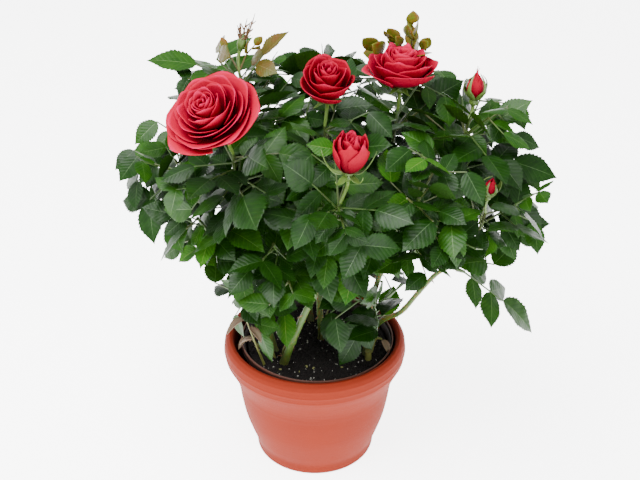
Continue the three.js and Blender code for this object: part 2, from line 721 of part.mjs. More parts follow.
for (const shoot of shoots) {
  const cane = canes[shoot.cane];
  const curve = new THREE.CatmullRomCurve3(cane.path);
  const start = curve.getPointAt(shoot.at);
  const root = vec(shoot.root);
  const bow = root.distanceTo(start) * 0.1; // it leaves along its cane and arrives along its leafy stem
  const middle = start
    .clone()
    .lerp(root, 0.5)
    .addScaledVector(curve.getTangentAt(shoot.at), bow)
    .addScaledVector(stemAxis(shoot), -bow);
  const thick = Math.min(lerp(cane.r[0], cane.r[1], shoot.at) * 0.8, 1.9);
  const path = smoothPath([start, middle, root], 3);
  addLimb("bough_" + shoot.name, path, [thick, thick * 0.8], { endAxis: stemAxis(shoot) });
}
for (const flower of flowers) {
  const stalk = sampled([vec(flower.carrier.tip), flower.base], flowerStalk[1], flowerStalk[1], limbSpacing);
  plantSoFar.limbs.push(...stalk.slice(1));
  for (const { base, direction, length } of sepalsOf(flower)) {
    const tip = base.clone().addScaledVector(direction, length);
    plantSoFar.limbs.push(...sampled([base, tip], 1, 1, limbSpacing));
  }
}
for (const { root, tip } of shoots) {
  plantSoFar.stalks.push(...sampled([vec(root), vec(tip)], stemRadius, stemRadius, limbSpacing));
}

// Masses of leaves: one node for each shoot, its stem, leaf stalks and leaflets fused.
for (const [number, shoot] of shoots.entries()) {
  const stem = [vec(shoot.root).addScaledVector(stemAxis(shoot), clearance), vec(shoot.tip)];
  const parts = [solid(limbGeometry(stem, stemRadius, stemRadius * 0.8, twigSides))];
  for (const leaf of growShoot(shoot, number + 1, plantSoFar)) parts.push(...leafSolids(leaf));
  addNode("leaves_" + shoot.name, geometryOf(largest(wasm.Manifold.union(parts))), foliage);
}

for (const flower of flowers) addNode(flower.name, geometryOf(flowerSolid(flower)), petal);

export default plant;
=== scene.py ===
"""A patio rose in full leaf and bloom, growing in a nursery pot that stands in a clay-coloured cover pot.

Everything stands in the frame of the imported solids, +Z up, with the bush's front to -Y. Blender works in
metres; sizes here are in millimetres, and MM turns one into the other where a mesh is made.
"""
import math

import bpy
import numpy as np
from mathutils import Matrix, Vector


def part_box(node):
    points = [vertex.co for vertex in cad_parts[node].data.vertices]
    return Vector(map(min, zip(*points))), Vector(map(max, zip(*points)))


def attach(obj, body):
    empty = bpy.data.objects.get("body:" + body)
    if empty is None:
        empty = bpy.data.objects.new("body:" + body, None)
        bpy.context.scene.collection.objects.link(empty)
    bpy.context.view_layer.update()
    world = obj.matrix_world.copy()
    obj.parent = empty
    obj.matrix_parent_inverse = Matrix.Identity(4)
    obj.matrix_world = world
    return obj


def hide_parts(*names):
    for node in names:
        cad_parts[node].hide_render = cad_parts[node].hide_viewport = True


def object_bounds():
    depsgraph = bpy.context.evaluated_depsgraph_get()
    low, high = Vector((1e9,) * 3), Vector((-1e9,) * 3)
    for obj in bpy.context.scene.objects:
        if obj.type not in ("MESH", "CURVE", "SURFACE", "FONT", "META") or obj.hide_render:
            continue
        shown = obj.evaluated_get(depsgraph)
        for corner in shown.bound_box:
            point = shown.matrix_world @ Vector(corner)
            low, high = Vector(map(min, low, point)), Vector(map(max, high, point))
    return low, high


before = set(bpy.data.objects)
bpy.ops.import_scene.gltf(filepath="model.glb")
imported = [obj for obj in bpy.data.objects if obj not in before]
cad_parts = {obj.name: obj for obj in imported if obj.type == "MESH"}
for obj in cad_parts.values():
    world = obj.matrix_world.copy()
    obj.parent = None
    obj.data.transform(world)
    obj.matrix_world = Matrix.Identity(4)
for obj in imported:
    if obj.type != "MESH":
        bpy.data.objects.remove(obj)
solid_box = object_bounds()
MM = 0.001

# ---------------------------------------------------------------- cover pot
# Moulded in one piece from terracotta-coloured plastic with a matt skin: a foot, a flaring body and a rim
# rolled outwards, with faint ridges round it as if it had been thrown on a wheel.


class Wire:
    """An output socket. Sums of wires and numbers add the Math nodes that work them out."""

    def __init__(self, tree, socket):
        self.tree = tree
        self.socket = socket

    def _sum(self, operation, *values):
        return self.tree.node("ShaderNodeMath", {"operation": operation}, dict(enumerate(values)))

    def __add__(self, other):
        return self._sum("ADD", self, other)

    def __sub__(self, other):
        return self._sum("SUBTRACT", self, other)

    def __rsub__(self, other):
        return self._sum("SUBTRACT", other, self)

    def __mul__(self, other):
        return self._sum("MULTIPLY", self, other)

    def __truediv__(self, other):
        return self._sum("DIVIDE", self, other)

    __radd__, __rmul__ = __add__, __mul__

    def is_over(self, other):
        return self._sum("GREATER_THAN", self, other)

    def sine(self):
        return self._sum("SINE", self)

    def size(self):
        return self._sum("ABSOLUTE", self)

    def clamped(self):
        return self._sum("MINIMUM", self._sum("MAXIMUM", self, 0.0), 1.0)


class Tree:
    """A node tree written as Python: node() adds one node and gives one of its outputs as a Wire."""

    def __init__(self, tree):
        self.tree = tree

    def node(self, kind, settings=None, sockets=None, out=0):
        made = self.tree.nodes.new(kind)
        for name, value in (settings or {}).items():
            setattr(made, name, value)
        for key, value in (sockets or {}).items():
            socket = self._pick(made.inputs, key)
            for item in value if isinstance(value, list) else [value]:
                if isinstance(item, Wire):
                    self.tree.links.new(item.socket, socket)
                else:
                    socket.default_value = item
        return Wire(self, self._pick(made.outputs, out)) if made.outputs else None

    def _pick(self, sockets, key):
        live = [socket for socket in sockets if socket.enabled]
        return live[key] if isinstance(key, int) else next(s for s in live if s.name == key)

    def mix(self, share, a, b):
        return self.node("ShaderNodeMix", {"data_type": "RGBA"}, {"Factor": share, "A": a, "B": b})

    def place(self):
        return self.node("ShaderNodeTexCoord", out="Object")

    def part(self, vector, letter):
        return self.node("ShaderNodeSeparateXYZ", {}, {0: vector}, out=letter)

    def scaled(self, vector, factor):
        return self.node("ShaderNodeVectorMath", {"operation": "SCALE"}, {0: vector, "Scale": factor})

    def stretched(self, x, y, z):
        """Object coordinates in millimetres, scaled along each axis."""
        scale = tuple(v / MM for v in (x, y, z))
        return self.node("ShaderNodeMapping", {}, {"Vector": self.place(), "Scale": scale})

    def noise(self, where, scale, detail=3.0, roughness=0.5):
        sockets = {"Vector": where, "Scale": scale, "Detail": detail, "Roughness": roughness}
        return self.node("ShaderNodeTexNoise", {}, sockets)

    def clouds(self, scale, detail, roughness=0.5):
        """Noise that runs alike along every axis; scale is in clouds a millimetre."""
        return self.noise(self.stretched(1, 1, 1), scale, detail, roughness)

    def bump(self, height, distance, strength=1.0):
        sockets = {"Height": height, "Distance": distance * MM, "Strength": strength}
        return self.node("ShaderNodeBump", {}, sockets)

    def named(self, name, kind="FLOAT"):
        return self.node("GeometryNodeInputNamedAttribute", {"data_type": kind}, {"Name": name})

    def dressed(self, geometry, finish):
        return self.node("GeometryNodeSetMaterial", {}, {"Geometry": geometry, "Material": finish})


def finish_made(name, recipe):
    """A material: recipe(tree) gives the Principled shader's sockets."""
    material = bpy.data.materials.new(name)
    material.use_nodes = True
    material.node_tree.nodes.clear()
    tree = Tree(material.node_tree)
    shader = tree.node("ShaderNodeBsdfPrincipled", {}, recipe(tree))
    tree.node("ShaderNodeOutputMaterial", {}, {"Surface": shader})
    return material


paint_depth = 0.4  # the studio's light is strong, so every colour is mixed darker than its chart


def paint(red, green, blue):
    """A colour as a paint chart gives it, 0 to 255, as the shader's linear one."""
    shown = (((v / 255 + 0.055) / 1.055) ** 2.4 if v > 10 else v / 3295 for v in (red, green, blue))
    return (*(v * paint_depth for v in shown), 1.0)


def mesh_made(name, points, faces, finish=None, edges=()):
    """An object at the origin from points in millimetres."""
    mesh = bpy.data.meshes.new(name)
    mesh.from_pydata(np.asarray(points, float) * MM, list(edges), [list(face) for face in faces])
    mesh.shade_smooth()
    if finish:
        mesh.materials.append(finish)
    made = bpy.data.objects.new(name, mesh)
    bpy.context.scene.collection.objects.link(made)
    return made


def bent(b, c, slope_b, slope_c, t):
    """A smooth line from b at t = 0 to c at t = 1, with the slope it has at each."""
    return (b + slope_b * t + (3 * (c - b) - 2 * slope_b - slope_c) * t**2
            + (2 * (b - c) + slope_b + slope_c) * t**3)


def rounded(profile, steps):
    """More points on a smooth line through a profile's points."""
    p = np.array(profile, float)
    p = np.vstack([2 * p[0] - p[1], p, 2 * p[-1] - p[-2]])
    t = np.linspace(0, 1, steps, endpoint=False)[:, None]
    spans = [bent(b, c, (c - a) / 2, (d - b) / 2, t) for a, b, c, d in zip(p, p[1:], p[2:], p[3:])]
    return np.vstack([*spans, p[-2]])


def skin(rings, sides):
    """Faces of a closed body of rings, whose points are followed by its first and its last pole."""
    faces = []
    for side in range(sides):
        beside = (side + 1) % sides
        faces.append((rings * sides, beside, side))
        for low in range(0, (rings - 1) * sides, sides):
            high = low + sides
            faces.append((low + side, low + beside, high + beside, high + side))
        top = (rings - 1) * sides
        faces.append((rings * sides + 1, top + side, top + beside))
    return faces


def turned(profile, sides):
    """Points and faces of a turned body whose profile [radius, height] starts and ends on the axis."""
    turns = np.arange(sides) * 2 * math.pi / sides
    walls = np.array(profile[1:-1], float)
    rings = np.stack([np.outer(walls[:, 0], np.cos(turns)), np.outer(walls[:, 0], np.sin(turns)),
                      np.repeat(walls[:, 1:], sides, axis=1)], axis=2).reshape(-1, 3)
    return np.vstack([rings, [0, 0, profile[0][1]], [0, 0, profile[-1][1]]]), skin(len(walls), sides)


pot_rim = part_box("cover_pot")[1].y / MM
pot_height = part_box("cover_pot")[1].z / MM
pot_sides = 192
pot_outer_wall = [
    (47.5, 0), (49.7, 2.5), (50.3, 10), (53.7, 19.5), (59.2, 37), (62.2, 53), (64, 66), (66, 74),
    (70.2, 84), (73.6, 91), (pot_rim - 0.1, 97), (pot_rim - 0.1, 102), (pot_rim - 1.5, 107),
    (pot_rim - 4.5, pot_height),
]
pot_inner_wall = [
    (pot_rim - 7, pot_height - 0.4), (67, 107), (66.4, 98), (62.6, 72), (61.6, 64), (59.6, 52), (56.8, 37),
    (51.2, 19.5), (47.1, 8), (45.1, 3),
]
pot_ridges = {104.6: 0.3, 98.4: 0.35, 92.6: 0.3, 66.5: 0.12}  # each ridge's height, and how far it stands out
pot_ridge_width = 0.9

outer = rounded(pot_outer_wall, 9)
for height, proud in pot_ridges.items():
    outer[:, 0] += proud * np.exp(-(((outer[:, 1] - height) / pot_ridge_width) ** 2))
pot_profile = [(0, 0), (46, 0), *outer, *rounded(pot_inner_wall, 4), (43, 3), (0, 3)]


def terracotta(tree):
    clouds = tree.clouds(0.035, 4.0)
    streaks = tree.noise(tree.stretched(0.02, 0.02, 1.6), 1.0, 2.0)
    grain = tree.clouds(3.2, 3.0)
    colour = tree.mix(clouds, paint(154, 46, 20), paint(168, 55, 26))
    colour = tree.mix((streaks - 0.45) * 0.9 * clouds, colour, paint(142, 40, 16))
    colour = tree.mix((grain.is_over(0.66)) * 0.45, colour, paint(196, 84, 52))
    return {
        "Base Color": colour,
        "Roughness": 0.68 + 0.12 * clouds,
        "Normal": tree.bump(streaks * 0.6 + grain * 0.16, 0.25),
        "Specular IOR Level": 0.1,
    }


cover_pot = mesh_made("cover_pot_turned", *turned(pot_profile, pot_sides),
                      finish_made("terracotta", terracotta))
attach(cover_pot, "root")
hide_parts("cover_pot")

# ---------------------------------------------------------------- nursery pot
# The thin brown pot that the bush was grown and sold in, blown from soft plastic with a stepped lip. It
# stands a little off the middle of the cover pot, so the dark gap round it is widest at the left.
liner_low, liner_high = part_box("nursery_pot")
liner_middle = [(liner_low[i] + liner_high[i]) / 2 / MM for i in (0, 1)]
liner_lip = (liner_high.x - liner_low.x) / 2 / MM
liner_floor, liner_top = liner_low.z / MM, liner_high.z / MM
liner_outer_wall = [
    (40, liner_floor), (42, liner_floor + 2), (44.6, 18), (liner_lip - 3.4, liner_top - 10),
    (liner_lip - 2.4, liner_top - 8.4), (liner_lip - 0.2, liner_top - 6), (liner_lip, liner_top - 4),
    (liner_lip - 0.1, liner_top - 0.5), (liner_lip - 0.6, liner_top),
]
liner_inner_wall = [
    (liner_lip - 1.2, liner_top - 0.1), (liner_lip - 1.5, liner_top - 1), (liner_lip - 1.6, liner_top - 5),
    (liner_lip - 4.2, liner_top - 8.8), (43.4, 18), (40, liner_floor + 1.4),
]
liner_profile = [(0, liner_floor), *rounded(liner_outer_wall, 4), *rounded(liner_inner_wall, 4),
                 (0, liner_floor + 1.4)]


def brown_plastic(tree):
    scuffs = tree.clouds(0.22, 4.0, 0.6)
    # Painted highlight: the top of the lip is mixed to a lighter brown, as if light caught it.
    lip_highlight = ((tree.part(tree.place(), "Z") / MM - (liner_top - 2.2)) * 0.8).clamped()
    colour = tree.mix(lip_highlight, paint(44, 24, 20), paint(128, 76, 60))
    return {
        "Base Color": tree.mix((scuffs - 0.4) * 0.8, colour, paint(104, 66, 54)),
        "Roughness": 0.38 + 0.25 * scuffs,
        "Normal": tree.bump(scuffs, 0.3),
    }


liner_points, liner_faces = turned(liner_profile, 128)
nursery_pot = mesh_made("nursery_pot_blown", liner_points + [*liner_middle, 0], liner_faces,
                        finish_made("brown_plastic", brown_plastic))
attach(nursery_pot, "root")
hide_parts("nursery_pot")

# ---------------------------------------------------------------- peat
# Black peat, loose and lumpy, fills the nursery pot almost to its lip, with white perlite mixed in and some
# pale scraps of old leaf. Its crumbs and grains are scattered over the lumpy top.


def mesh_from_rule(name, carrier, tree, **values):
    """What a node tree makes of a carrier object, as a plain mesh; the carrier is used up."""
    rule = carrier.modifiers.new("rule", "NODES")
    rule.node_group = tree.tree
    for item in tree.tree.interface.items_tree:
        if item.item_type == "SOCKET" and item.in_out == "INPUT" and item.name in values:
            rule[item.identifier] = values[item.name]
    bpy.context.view_layer.update()
    grown = carrier.evaluated_get(bpy.context.evaluated_depsgraph_get())
    mesh = bpy.data.meshes.new_from_object(grown)
    mesh.name = name
    bpy.data.objects.remove(carrier)
    made = bpy.data.objects.new(name, mesh)
    bpy.context.scene.collection.objects.link(made)
    return made


def rule_made(name, inputs, recipe):
    """A Geometry Nodes tree with named inputs; recipe(tree, geometry, wires) gives what it makes."""
    tree = Tree(bpy.data.node_groups.new(name, "GeometryNodeTree"))
    face = tree.tree.interface
    face.new_socket("Geometry", in_out="INPUT", socket_type="NodeSocketGeometry")
    for key, kind in inputs.items():
        face.new_socket(key, in_out="INPUT", socket_type="NodeSocket" + kind)
    face.new_socket("Geometry", in_out="OUTPUT", socket_type="NodeSocketGeometry")
    entry = tree.tree.nodes.new("NodeGroupInput")
    wires = {socket.name: Wire(tree, socket) for socket in entry.outputs if socket.name}
    made = recipe(tree, wires.pop("Geometry"), wires)
    tree.tree.links.new(made.socket, tree.tree.nodes.new("NodeGroupOutput").inputs[0])
    return tree


soil_low, soil_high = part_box("soil")
soil_radius = (soil_high.x - soil_low.x) / 2 / MM
soil_top = soil_high.z / MM
soil_floor = soil_low.z / MM
soil_lumps = 2.4  # how far the top's lumps rise and sink
soil_sides = 96


def lumpy(tree, ground, sizes):
    """Raises and sinks the ground's top by a smooth noise, and leaves its wall and floor alone."""
    lumps = tree.noise(tree.scaled(tree.node("GeometryNodeInputPosition"), 55.0), 1.0, 5.0)
    rise = (lumps - 0.5) * 2.0 * sizes["Lump"] * tree.named("top")
    offset = tree.node("ShaderNodeCombineXYZ", {}, {"Z": rise})
    return tree.node("GeometryNodeSetPosition", {}, {"Geometry": ground, "Offset": offset})


def crumbs(tree, ground, sizes):
    """Scatters rough little stones over the top of the lumpy ground."""
    spots = tree.node("GeometryNodeDistributePointsOnFaces", {}, {
        "Mesh": lumpy(tree, ground, sizes), "Selection": tree.named("top").is_over(0.99),
        "Density": sizes["Density"], "Seed": sizes["Seed"]})
    stone = tree.node("GeometryNodeMeshIcoSphere", {}, {"Radius": 1.0, "Subdivisions": 1})
    spin = tree.node("FunctionNodeRandomValue", {"data_type": "FLOAT_VECTOR"},
                     {"Max": (6.28, 6.28, 6.28), "Seed": 3})
    squash = tree.node("FunctionNodeRandomValue", {"data_type": "FLOAT_VECTOR"},
                       {"Min": (0.4, 0.4, 0.3), "Max": (1.3, 1.0, 0.8), "Seed": 5})
    stones = tree.node("GeometryNodeInstanceOnPoints", {}, {
        "Points": spots, "Instance": stone, "Scale": tree.scaled(squash, sizes["Size"]),
        "Rotation": tree.node("FunctionNodeEulerToRotation", {}, {0: spin})})
    stones = tree.node("GeometryNodeRealizeInstances", {}, {0: stones})
    where = tree.scaled(tree.node("GeometryNodeInputPosition"), 900.0)
    rough = tree.node("ShaderNodeTexNoise", {}, {"Vector": where, "Scale": 1.0, "Detail": 1.0}, out="Color")
    rough = tree.node("ShaderNodeVectorMath", {"operation": "SUBTRACT"}, {0: rough, 1: (0.5, 0.5, 0.5)})
    stones = tree.node("GeometryNodeSetPosition", {}, {
        "Geometry": stones, "Offset": tree.scaled(rough, sizes["Size"] * 1.2)})
    return tree.dressed(stones, sizes["Finish"])


def mark(made, name, values, kind="FLOAT", domain="POINT"):
    """Writes a number or a vector for each point, edge or face of an object's mesh."""
    store = made.data.attributes.new(name, kind, domain).data
    store.foreach_set("vector" if kind == "FLOAT_VECTOR" else "value", np.ravel(values).tolist())


def peat_bed():
    """The peat as one closed body. Its attribute top is 1 on the open top and 0 at the wall and below."""
    radii = np.linspace(soil_radius - 0.4, 0, 46)[:-1]
    profile = [(0, soil_floor), (39, soil_floor), (soil_radius - 0.6, soil_top - 4)]
    profile += [(radius, soil_top - 0.6) for radius in radii] + [(0, soil_top - 0.6)]
    points, faces = turned(profile, soil_sides)
    points = points + [*liner_middle, 0]
    made = mesh_made("peat_bed", points, faces)
    away = np.hypot(points[:, 0] - liner_middle[0], points[:, 1] - liner_middle[1])
    mark(made, "top", np.where(points[:, 2] > soil_top - 2, np.clip((soil_radius - away) / 3, 0, 1), 0))
    return made


def black_peat(tree):
    fibres = tree.clouds(0.9, 6.0, 0.7)
    return {
        "Base Color": tree.mix((fibres - 0.42) * 2.2, paint(20, 17, 17), paint(62, 50, 44)),
        "Roughness": 0.95,
        "Normal": tree.bump(fibres, 0.9),
        "Specular IOR Level": 0.25,
    }


def mottled(name, first, second, scale, detail, roughness, relief=0.0):
    """A finish clouded from one paint to another, with the same clouds raised by relief millimetres."""

    def recipe(tree):
        clouds = tree.clouds(scale, detail)
        sockets = {"Base Color": tree.mix(clouds, first, second), "Roughness": roughness}
        if relief:
            sockets["Normal"] = tree.bump(clouds, relief)
        return sockets

    return finish_made(name, recipe)


def ground_made(tree, ground, sizes):
    return tree.dressed(lumpy(tree, ground, sizes), sizes["Finish"])


soil_inputs = {"Lump": "Float", "Density": "Float", "Seed": "Int", "Size": "Float", "Finish": "Material"}
crumb_rule = rule_made("scattered_crumbs", soil_inputs, crumbs)
peat_finish = finish_made("black_peat", black_peat)
peat = mesh_from_rule("peat", peat_bed(), rule_made("lumpy_ground", soil_inputs, ground_made),
                      Lump=soil_lumps * MM, Finish=peat_finish)
peat.data.shade_smooth()
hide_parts("soil")
white_perlite = mottled("white_perlite", paint(176, 170, 158), paint(232, 230, 222), 2.2, 3.0, 0.9)
dead_leaf = mottled("dead_leaf", paint(120, 118, 52), paint(196, 198, 128), 0.5, 2.0, 0.8)
pieces_of_soil = [peat]
for name, density, seed, size, finish in (  # density in crumbs a square metre
        ("peat_crumbs", 2.4e5, 11, 1.3, peat_finish),
        ("perlite", 1.5e4, 23, 1.0, white_perlite),
        ("leaf_scraps", 1.5e3, 5, 1.6, dead_leaf)):
    pieces_of_soil.append(mesh_from_rule(name, peat_bed(), crumb_rule, Lump=soil_lumps * MM, Density=density,
                                         Seed=seed, Size=size * MM, Finish=finish))
for loose in pieces_of_soil:
    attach(loose, "root")

# ---------------------------------------------------------------- canes
# Six canes come up out of the peat. Their bark is smooth and yellow-green with fine ribs, a ring at every old
# leaf's place and a few flat prickles, and it browns towards the foot.


def through(points):
    """A centripetal Catmull-Rom curve through the points, as a function of shares from 0 to 1."""
    p = np.asarray(points, float)
    spans = len(p) - 1
    p = np.vstack([2 * p[0] - p[1], p, 2 * p[-1] - p[-2]])

    def curve(shares):
        along = np.clip(shares, 0, 1) * spans
        span = np.minimum(along.astype(int), spans - 1)
        t = (along - span)[:, None]
        a, b, c, d = (p[span + i] for i in range(4))
        ab, bc, cd = (np.sqrt(np.linalg.norm(v - u, axis=1))[:, None] for u, v in ((a, b), (b, c), (c, d)))
        slope_b = ((b - a) / ab - (c - a) / (ab + bc) + (c - b) / bc) * bc
        slope_c = ((c - b) / bc - (d - b) / (bc + cd) + (d - c) / cd) * bc
        return bent(b, c, slope_b, slope_c, t)

    return curve


def straight(points):
    """A line from point to point, as a function of shares from 0 to 1."""
    p = np.asarray(points, float)
    lengths = np.concatenate([[0], np.cumsum(np.linalg.norm(np.diff(p, axis=0), axis=1))])

    def curve(shares):
        along = np.clip(shares, 0, 1) * lengths[-1]
        return np.stack([np.interp(along, lengths, p[:, axis]) for axis in range(3)], axis=1)

    curve.length = lengths[-1]
    return curve


def by_length(curve, shares):
    """The shares of a curve's parameter that lie at the given shares of its length."""
    ticks = np.linspace(0, 1, 201)
    steps = np.linalg.norm(np.diff(curve(ticks), axis=0), axis=1)
    lengths = np.concatenate([[0], np.cumsum(steps)])
    return np.interp(np.asarray(shares) * lengths[-1], lengths, ticks)


def spread(curve, count):
    """Points an equal way apart along a curve."""
    return curve(by_length(curve, np.linspace(0, 1, count + 1)))


def unit(v):
    return v / np.linalg.norm(v)


def bark_tube(path, radii, sides, ribs, shift):
    """Points and faces of a closed tube along a path. Its ribs run lengthwise, and shift turns them."""
    tangents = np.gradient(path, axis=0)
    tangents /= np.linalg.norm(tangents, axis=1)[:, None]
    first = unit(np.cross(tangents[0], [0.3, 1.0, 0.2]))
    turns = np.arange(sides) * 2 * math.pi / sides
    rings = []
    for place, tangent, radius in zip(path, tangents, radii):
        first = unit(first - tangent * first.dot(tangent))
        second = np.cross(tangent, first)
        relief = 1 + ribs * np.cos(5 * turns + shift) + ribs * 0.6 * np.cos(3 * turns - 2 * shift)
        away = np.outer(np.cos(turns), first) + np.outer(np.sin(turns), second)
        rings.append(place + away * (radius * relief)[:, None])
    return np.vstack([*rings, path[0], path[-1]]), skin(len(path), sides)


# Each path holds [x, y, rise above the soil]; r is the radius at the foot and at the tip.
canes = {
    "cane_main": {"path": [(-25, -28, 0), (-17, -34, 27), (-9, -33, 48), (1, -30, 72), (4, -26, 108)],
                  "r": (3.2, 2.0)},
    "cane_left": {"path": [(-33, -10, 0), (-40, -9, 32), (-53, -6, 66), (-66, -8, 102)], "r": (2.5, 1.7)},
    "cane_right": {"path": [(42, -14, 0), (44, -8, 30), (50, -10, 66), (62, -14, 104)], "r": (2.6, 1.8)},
    "cane_arching": {"path": [(46, 16, 0), (58, 8, 19), (70, 0, 30.5), (85, -5, 55), (97, -10, 74),
                              (105, -12, 81)], "r": (2.4, 1.7)},
    "cane_centre": {"path": [(6, 8, 0), (4, 4, 44), (8, 4, 82), (12, 6, 118)], "r": (2.8, 2.0)},
    "cane_back": {"path": [(-4, 34, 0), (-6, 44, 42), (-4, 54, 82), (0, 62, 116)], "r": (2.6, 1.8)},
}
for cane in canes.values():
    cane["path"] = [np.array((x, y, soil_top + rise), float) for x, y, rise in cane["path"]]

buried_length = 4.0
foot_flare, flare_fade = 0.35, 14.0
limb_spacing = 3.0  # between the points at which leaves keep clear of a limb
old_leaf_step = 21.0  # between the rings that old leaves left
ring_swell, ring_width = 0.13, 1.3


def limb_samples(points, r0, r1):
    """Points along a limb, with its radius in the fourth column."""
    line = straight(points)
    count = math.ceil(line.length / limb_spacing)
    return np.column_stack([spread(line, count), np.linspace(r0, r1, count + 1)])


def bark_green(tree):
    browned = (1.0 - (tree.part(tree.place(), "Z") / MM - (soil_top + 2)) / 12.0).clamped()
    streaks = tree.noise(tree.stretched(1, 1, 0.12), 1.4, 4.0)
    cloud = tree.clouds(0.05, 3.0)
    green = tree.mix(cloud, paint(56, 104, 12), paint(94, 134, 26))
    green = tree.mix((streaks - 0.45) * 1.6, green, paint(122, 148, 44))
    colour = tree.mix(browned * (0.3 + 0.5 * streaks), green, paint(96, 80, 36))
    return {
        "Base Color": colour,
        "Roughness": 0.42 + 0.3 * streaks,
        "Normal": tree.bump(streaks, 0.35),
        "Subsurface Weight": 0.08,
    }


bark_finish = finish_made("green_bark", bark_green)
limbs_so_far = []
prickle_lines = []
for number, (name, cane) in enumerate(canes.items()):
    path = cane["path"]
    buried = path[0] + unit(path[0] - path[1]) * buried_length
    coarse = np.vstack([buried, spread(through(path), len(path) + 1)])
    limbs_so_far.append(limb_samples(coarse, *cane["r"]))
    fine_count = int(straight(coarse).length / 1.1)
    line = spread(through([buried, *path]), fine_count)
    shares = np.linspace(0, 1, fine_count + 1)
    heights = shares * straight(coarse).length
    radii = np.interp(shares, [0, 1], cane["r"]) * (1 + foot_flare * np.exp(-flare_fade * shares))
    rings = (heights + 7 * number) % old_leaf_step - old_leaf_step / 2
    radii *= 1 + ring_swell * np.exp(-((rings / ring_width) ** 2))
    bark = mesh_made(name + "_bark", *bark_tube(line, radii, 20, 0.022, number), bark_finish)
    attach(bark, "root")
    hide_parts(name)
    prickle_lines.append((line, radii))

# ---------------------------------------------------------------- boughs
# Each shoot leaves its cane at a share of the cane's length, on a thin bough that bends up into the shoot's
# leaves. Boughs are of the canes' green bark, with finer ribs.

# A row holds a shoot's name, its cane, the share of the cane at which its bough starts, how many inner leaves
# it has, root (where the bough ends and the leaves begin), tip (where its leafy stem ends), reach (half the
# size of the space its leaves keep to) and aims: the outermost leaf tips, which its first leaves point at.
shoot_keys = ("name", "cane", "at", "inner", "root", "tip", "reach", "aims")
shoots = [dict(zip(shoot_keys, row)) for row in (
    ("left_front", "cane_left", 0.9, 3, (-58, -32, 236), (-58, -46, 298), (72, 66, 74),
     [(-87, -100, 297), (-66, -98, 257), (-85, -70, 245), (-41, -122, 292), (-34, -100, 327),
      (-112, -60, 292)]),
    ("left", "cane_left", 1, 5, (-82, -6, 226), (-104, -4, 268), (62, 62, 66),
     [(-135, -5, 270), (-130, -15, 225), (-132, 10, 292), (-109, 25, 308)]),
    ("left_low", "cane_left", 0.84, 2, (-72, -30, 212), (-88, -44, 246), (62, 56, 36),
     [(-122, -35, 251), (-115, -25, 205), (-92, -66, 216), (-60, -84, 236)]),
    ("left_top", "cane_centre", 0.62, 4, (-40, 12, 262), (-56, 17, 334), (66, 62, 70),
     [(-119, 10, 358), (-104, 30, 326), (-28, 24, 359), (-67, 0, 349)]),
    ("front_centre", "cane_main", 0.96, 4, (6, -46, 224), (19, -72, 272), (66, 66, 66),
     [(38, -108, 217), (6, -98, 214), (67, -108, 284), (32, -128, 280), (-18, -100, 321), (3, -126, 292)]),
    ("front_left", "cane_main", 0.8, 4, (-18, -50, 204), (-30, -74, 240), (62, 58, 48),
     [(-30, -104, 222), (-56, -98, 222), (-2, -104, 206), (-42, -116, 266)]),
    ("centre_top", "cane_centre", 1, 6, (10, 0, 238), (8, -8, 302), (64, 62, 66),
     [(1, 22, 359), (29, 40, 343), (-15, -52, 329), (-32, -62, 327), (48, -50, 314), (-11, 20, 343)]),
    ("front_right", "cane_right", 0.94, 5, (60, -32, 222), (76, -60, 268), (68, 66, 68),
     [(103, -88, 271), (98, -78, 305), (83, -95, 247), (62, -76, 314)]),
    ("right_low", "cane_right", 0.9, 2, (76, -30, 204), (94, -46, 236), (62, 56, 36),
     [(76, -84, 213), (101, -62, 203), (130, -50, 202), (46, -78, 222)]),
    ("right_top", "cane_right", 1, 5, (56, 8, 244), (64, 25, 300), (62, 62, 64),
     [(74, 46, 368), (93, 62, 334), (115, 52, 322), (36, 44, 348), (114, -20, 312), (80, -30, 317)]),
    ("right", "cane_arching", 1, 4, (108, -2, 226), (117, 13, 298), (66, 64, 72),
     [(187, -8, 271), (160, 2, 318), (164, 14, 288), (166, -25, 290), (137, 32, 319), (138, -55, 281)]),
    ("right_outer", "cane_arching", 0.99, 4, (126, -14, 208), (129, -29, 240), (70, 62, 66),
     [(179, -20, 232), (181, -5, 208), (172, -35, 191), (136, -72, 241)]),
    ("back_left", "cane_back", 0.8, 6, (-42, 58, 238), (-66, 72, 296), (70, 66, 68),
     [(-118, 96, 262), (-70, 132, 264), (-90, 84, 340)]),
    ("back_centre", "cane_back", 1, 6, (2, 72, 242), (6, 86, 304), (68, 66, 68),
     [(8, 146, 262), (-24, 112, 344), (34, 106, 348)]),
    ("back_right", "cane_back", 0.88, 6, (44, 62, 236), (78, 72, 292), (70, 66, 70),
     [(134, 88, 262), (90, 132, 258), (118, 72, 334)]),
    ("back_low_left", "cane_back", 0.62, 2, (-34, 72, 206), (-52, 92, 234), (62, 60, 44),
     [(-92, 112, 214), (-30, 142, 228), (-70, 134, 196)]),
    ("back_low_right", "cane_back", 0.7, 2, (42, 74, 204), (62, 92, 232), (62, 60, 44),
     [(108, 104, 212), (48, 142, 224), (90, 130, 198)]),
    ("low_left", "cane_left", 0.4, 2, (-50, -22, 150), (-58, -30, 172), (56, 52, 56),
     [(-61, -25, 148), (-80, -10, 116), (-42, -40, 136), (-26, -70, 188)]),
    ("low_right", "cane_right", 0.3, 1, (47, -16, 136), (48, -20, 152), (52, 50, 48),
     [(30, -36, 125), (48, -28, 121), (15, -28, 140)]),
    ("low_back", "cane_back", 0.36, 3, (6, 58, 152), (14, 70, 178), (60, 52, 56),
     [(-44, 86, 160), (66, 84, 158)]),
    ("drooping", "cane_arching", 1, 0, (112, -13, 180), (119, -14, 178), (70, 50, 50),
     [(180, -25, 132)]),
)]
for shoot in shoots:
    for key in ("root", "tip", "reach"):
        shoot[key] = np.array(shoot[key], float)
    shoot["axis"] = unit(shoot["tip"] - shoot["root"])

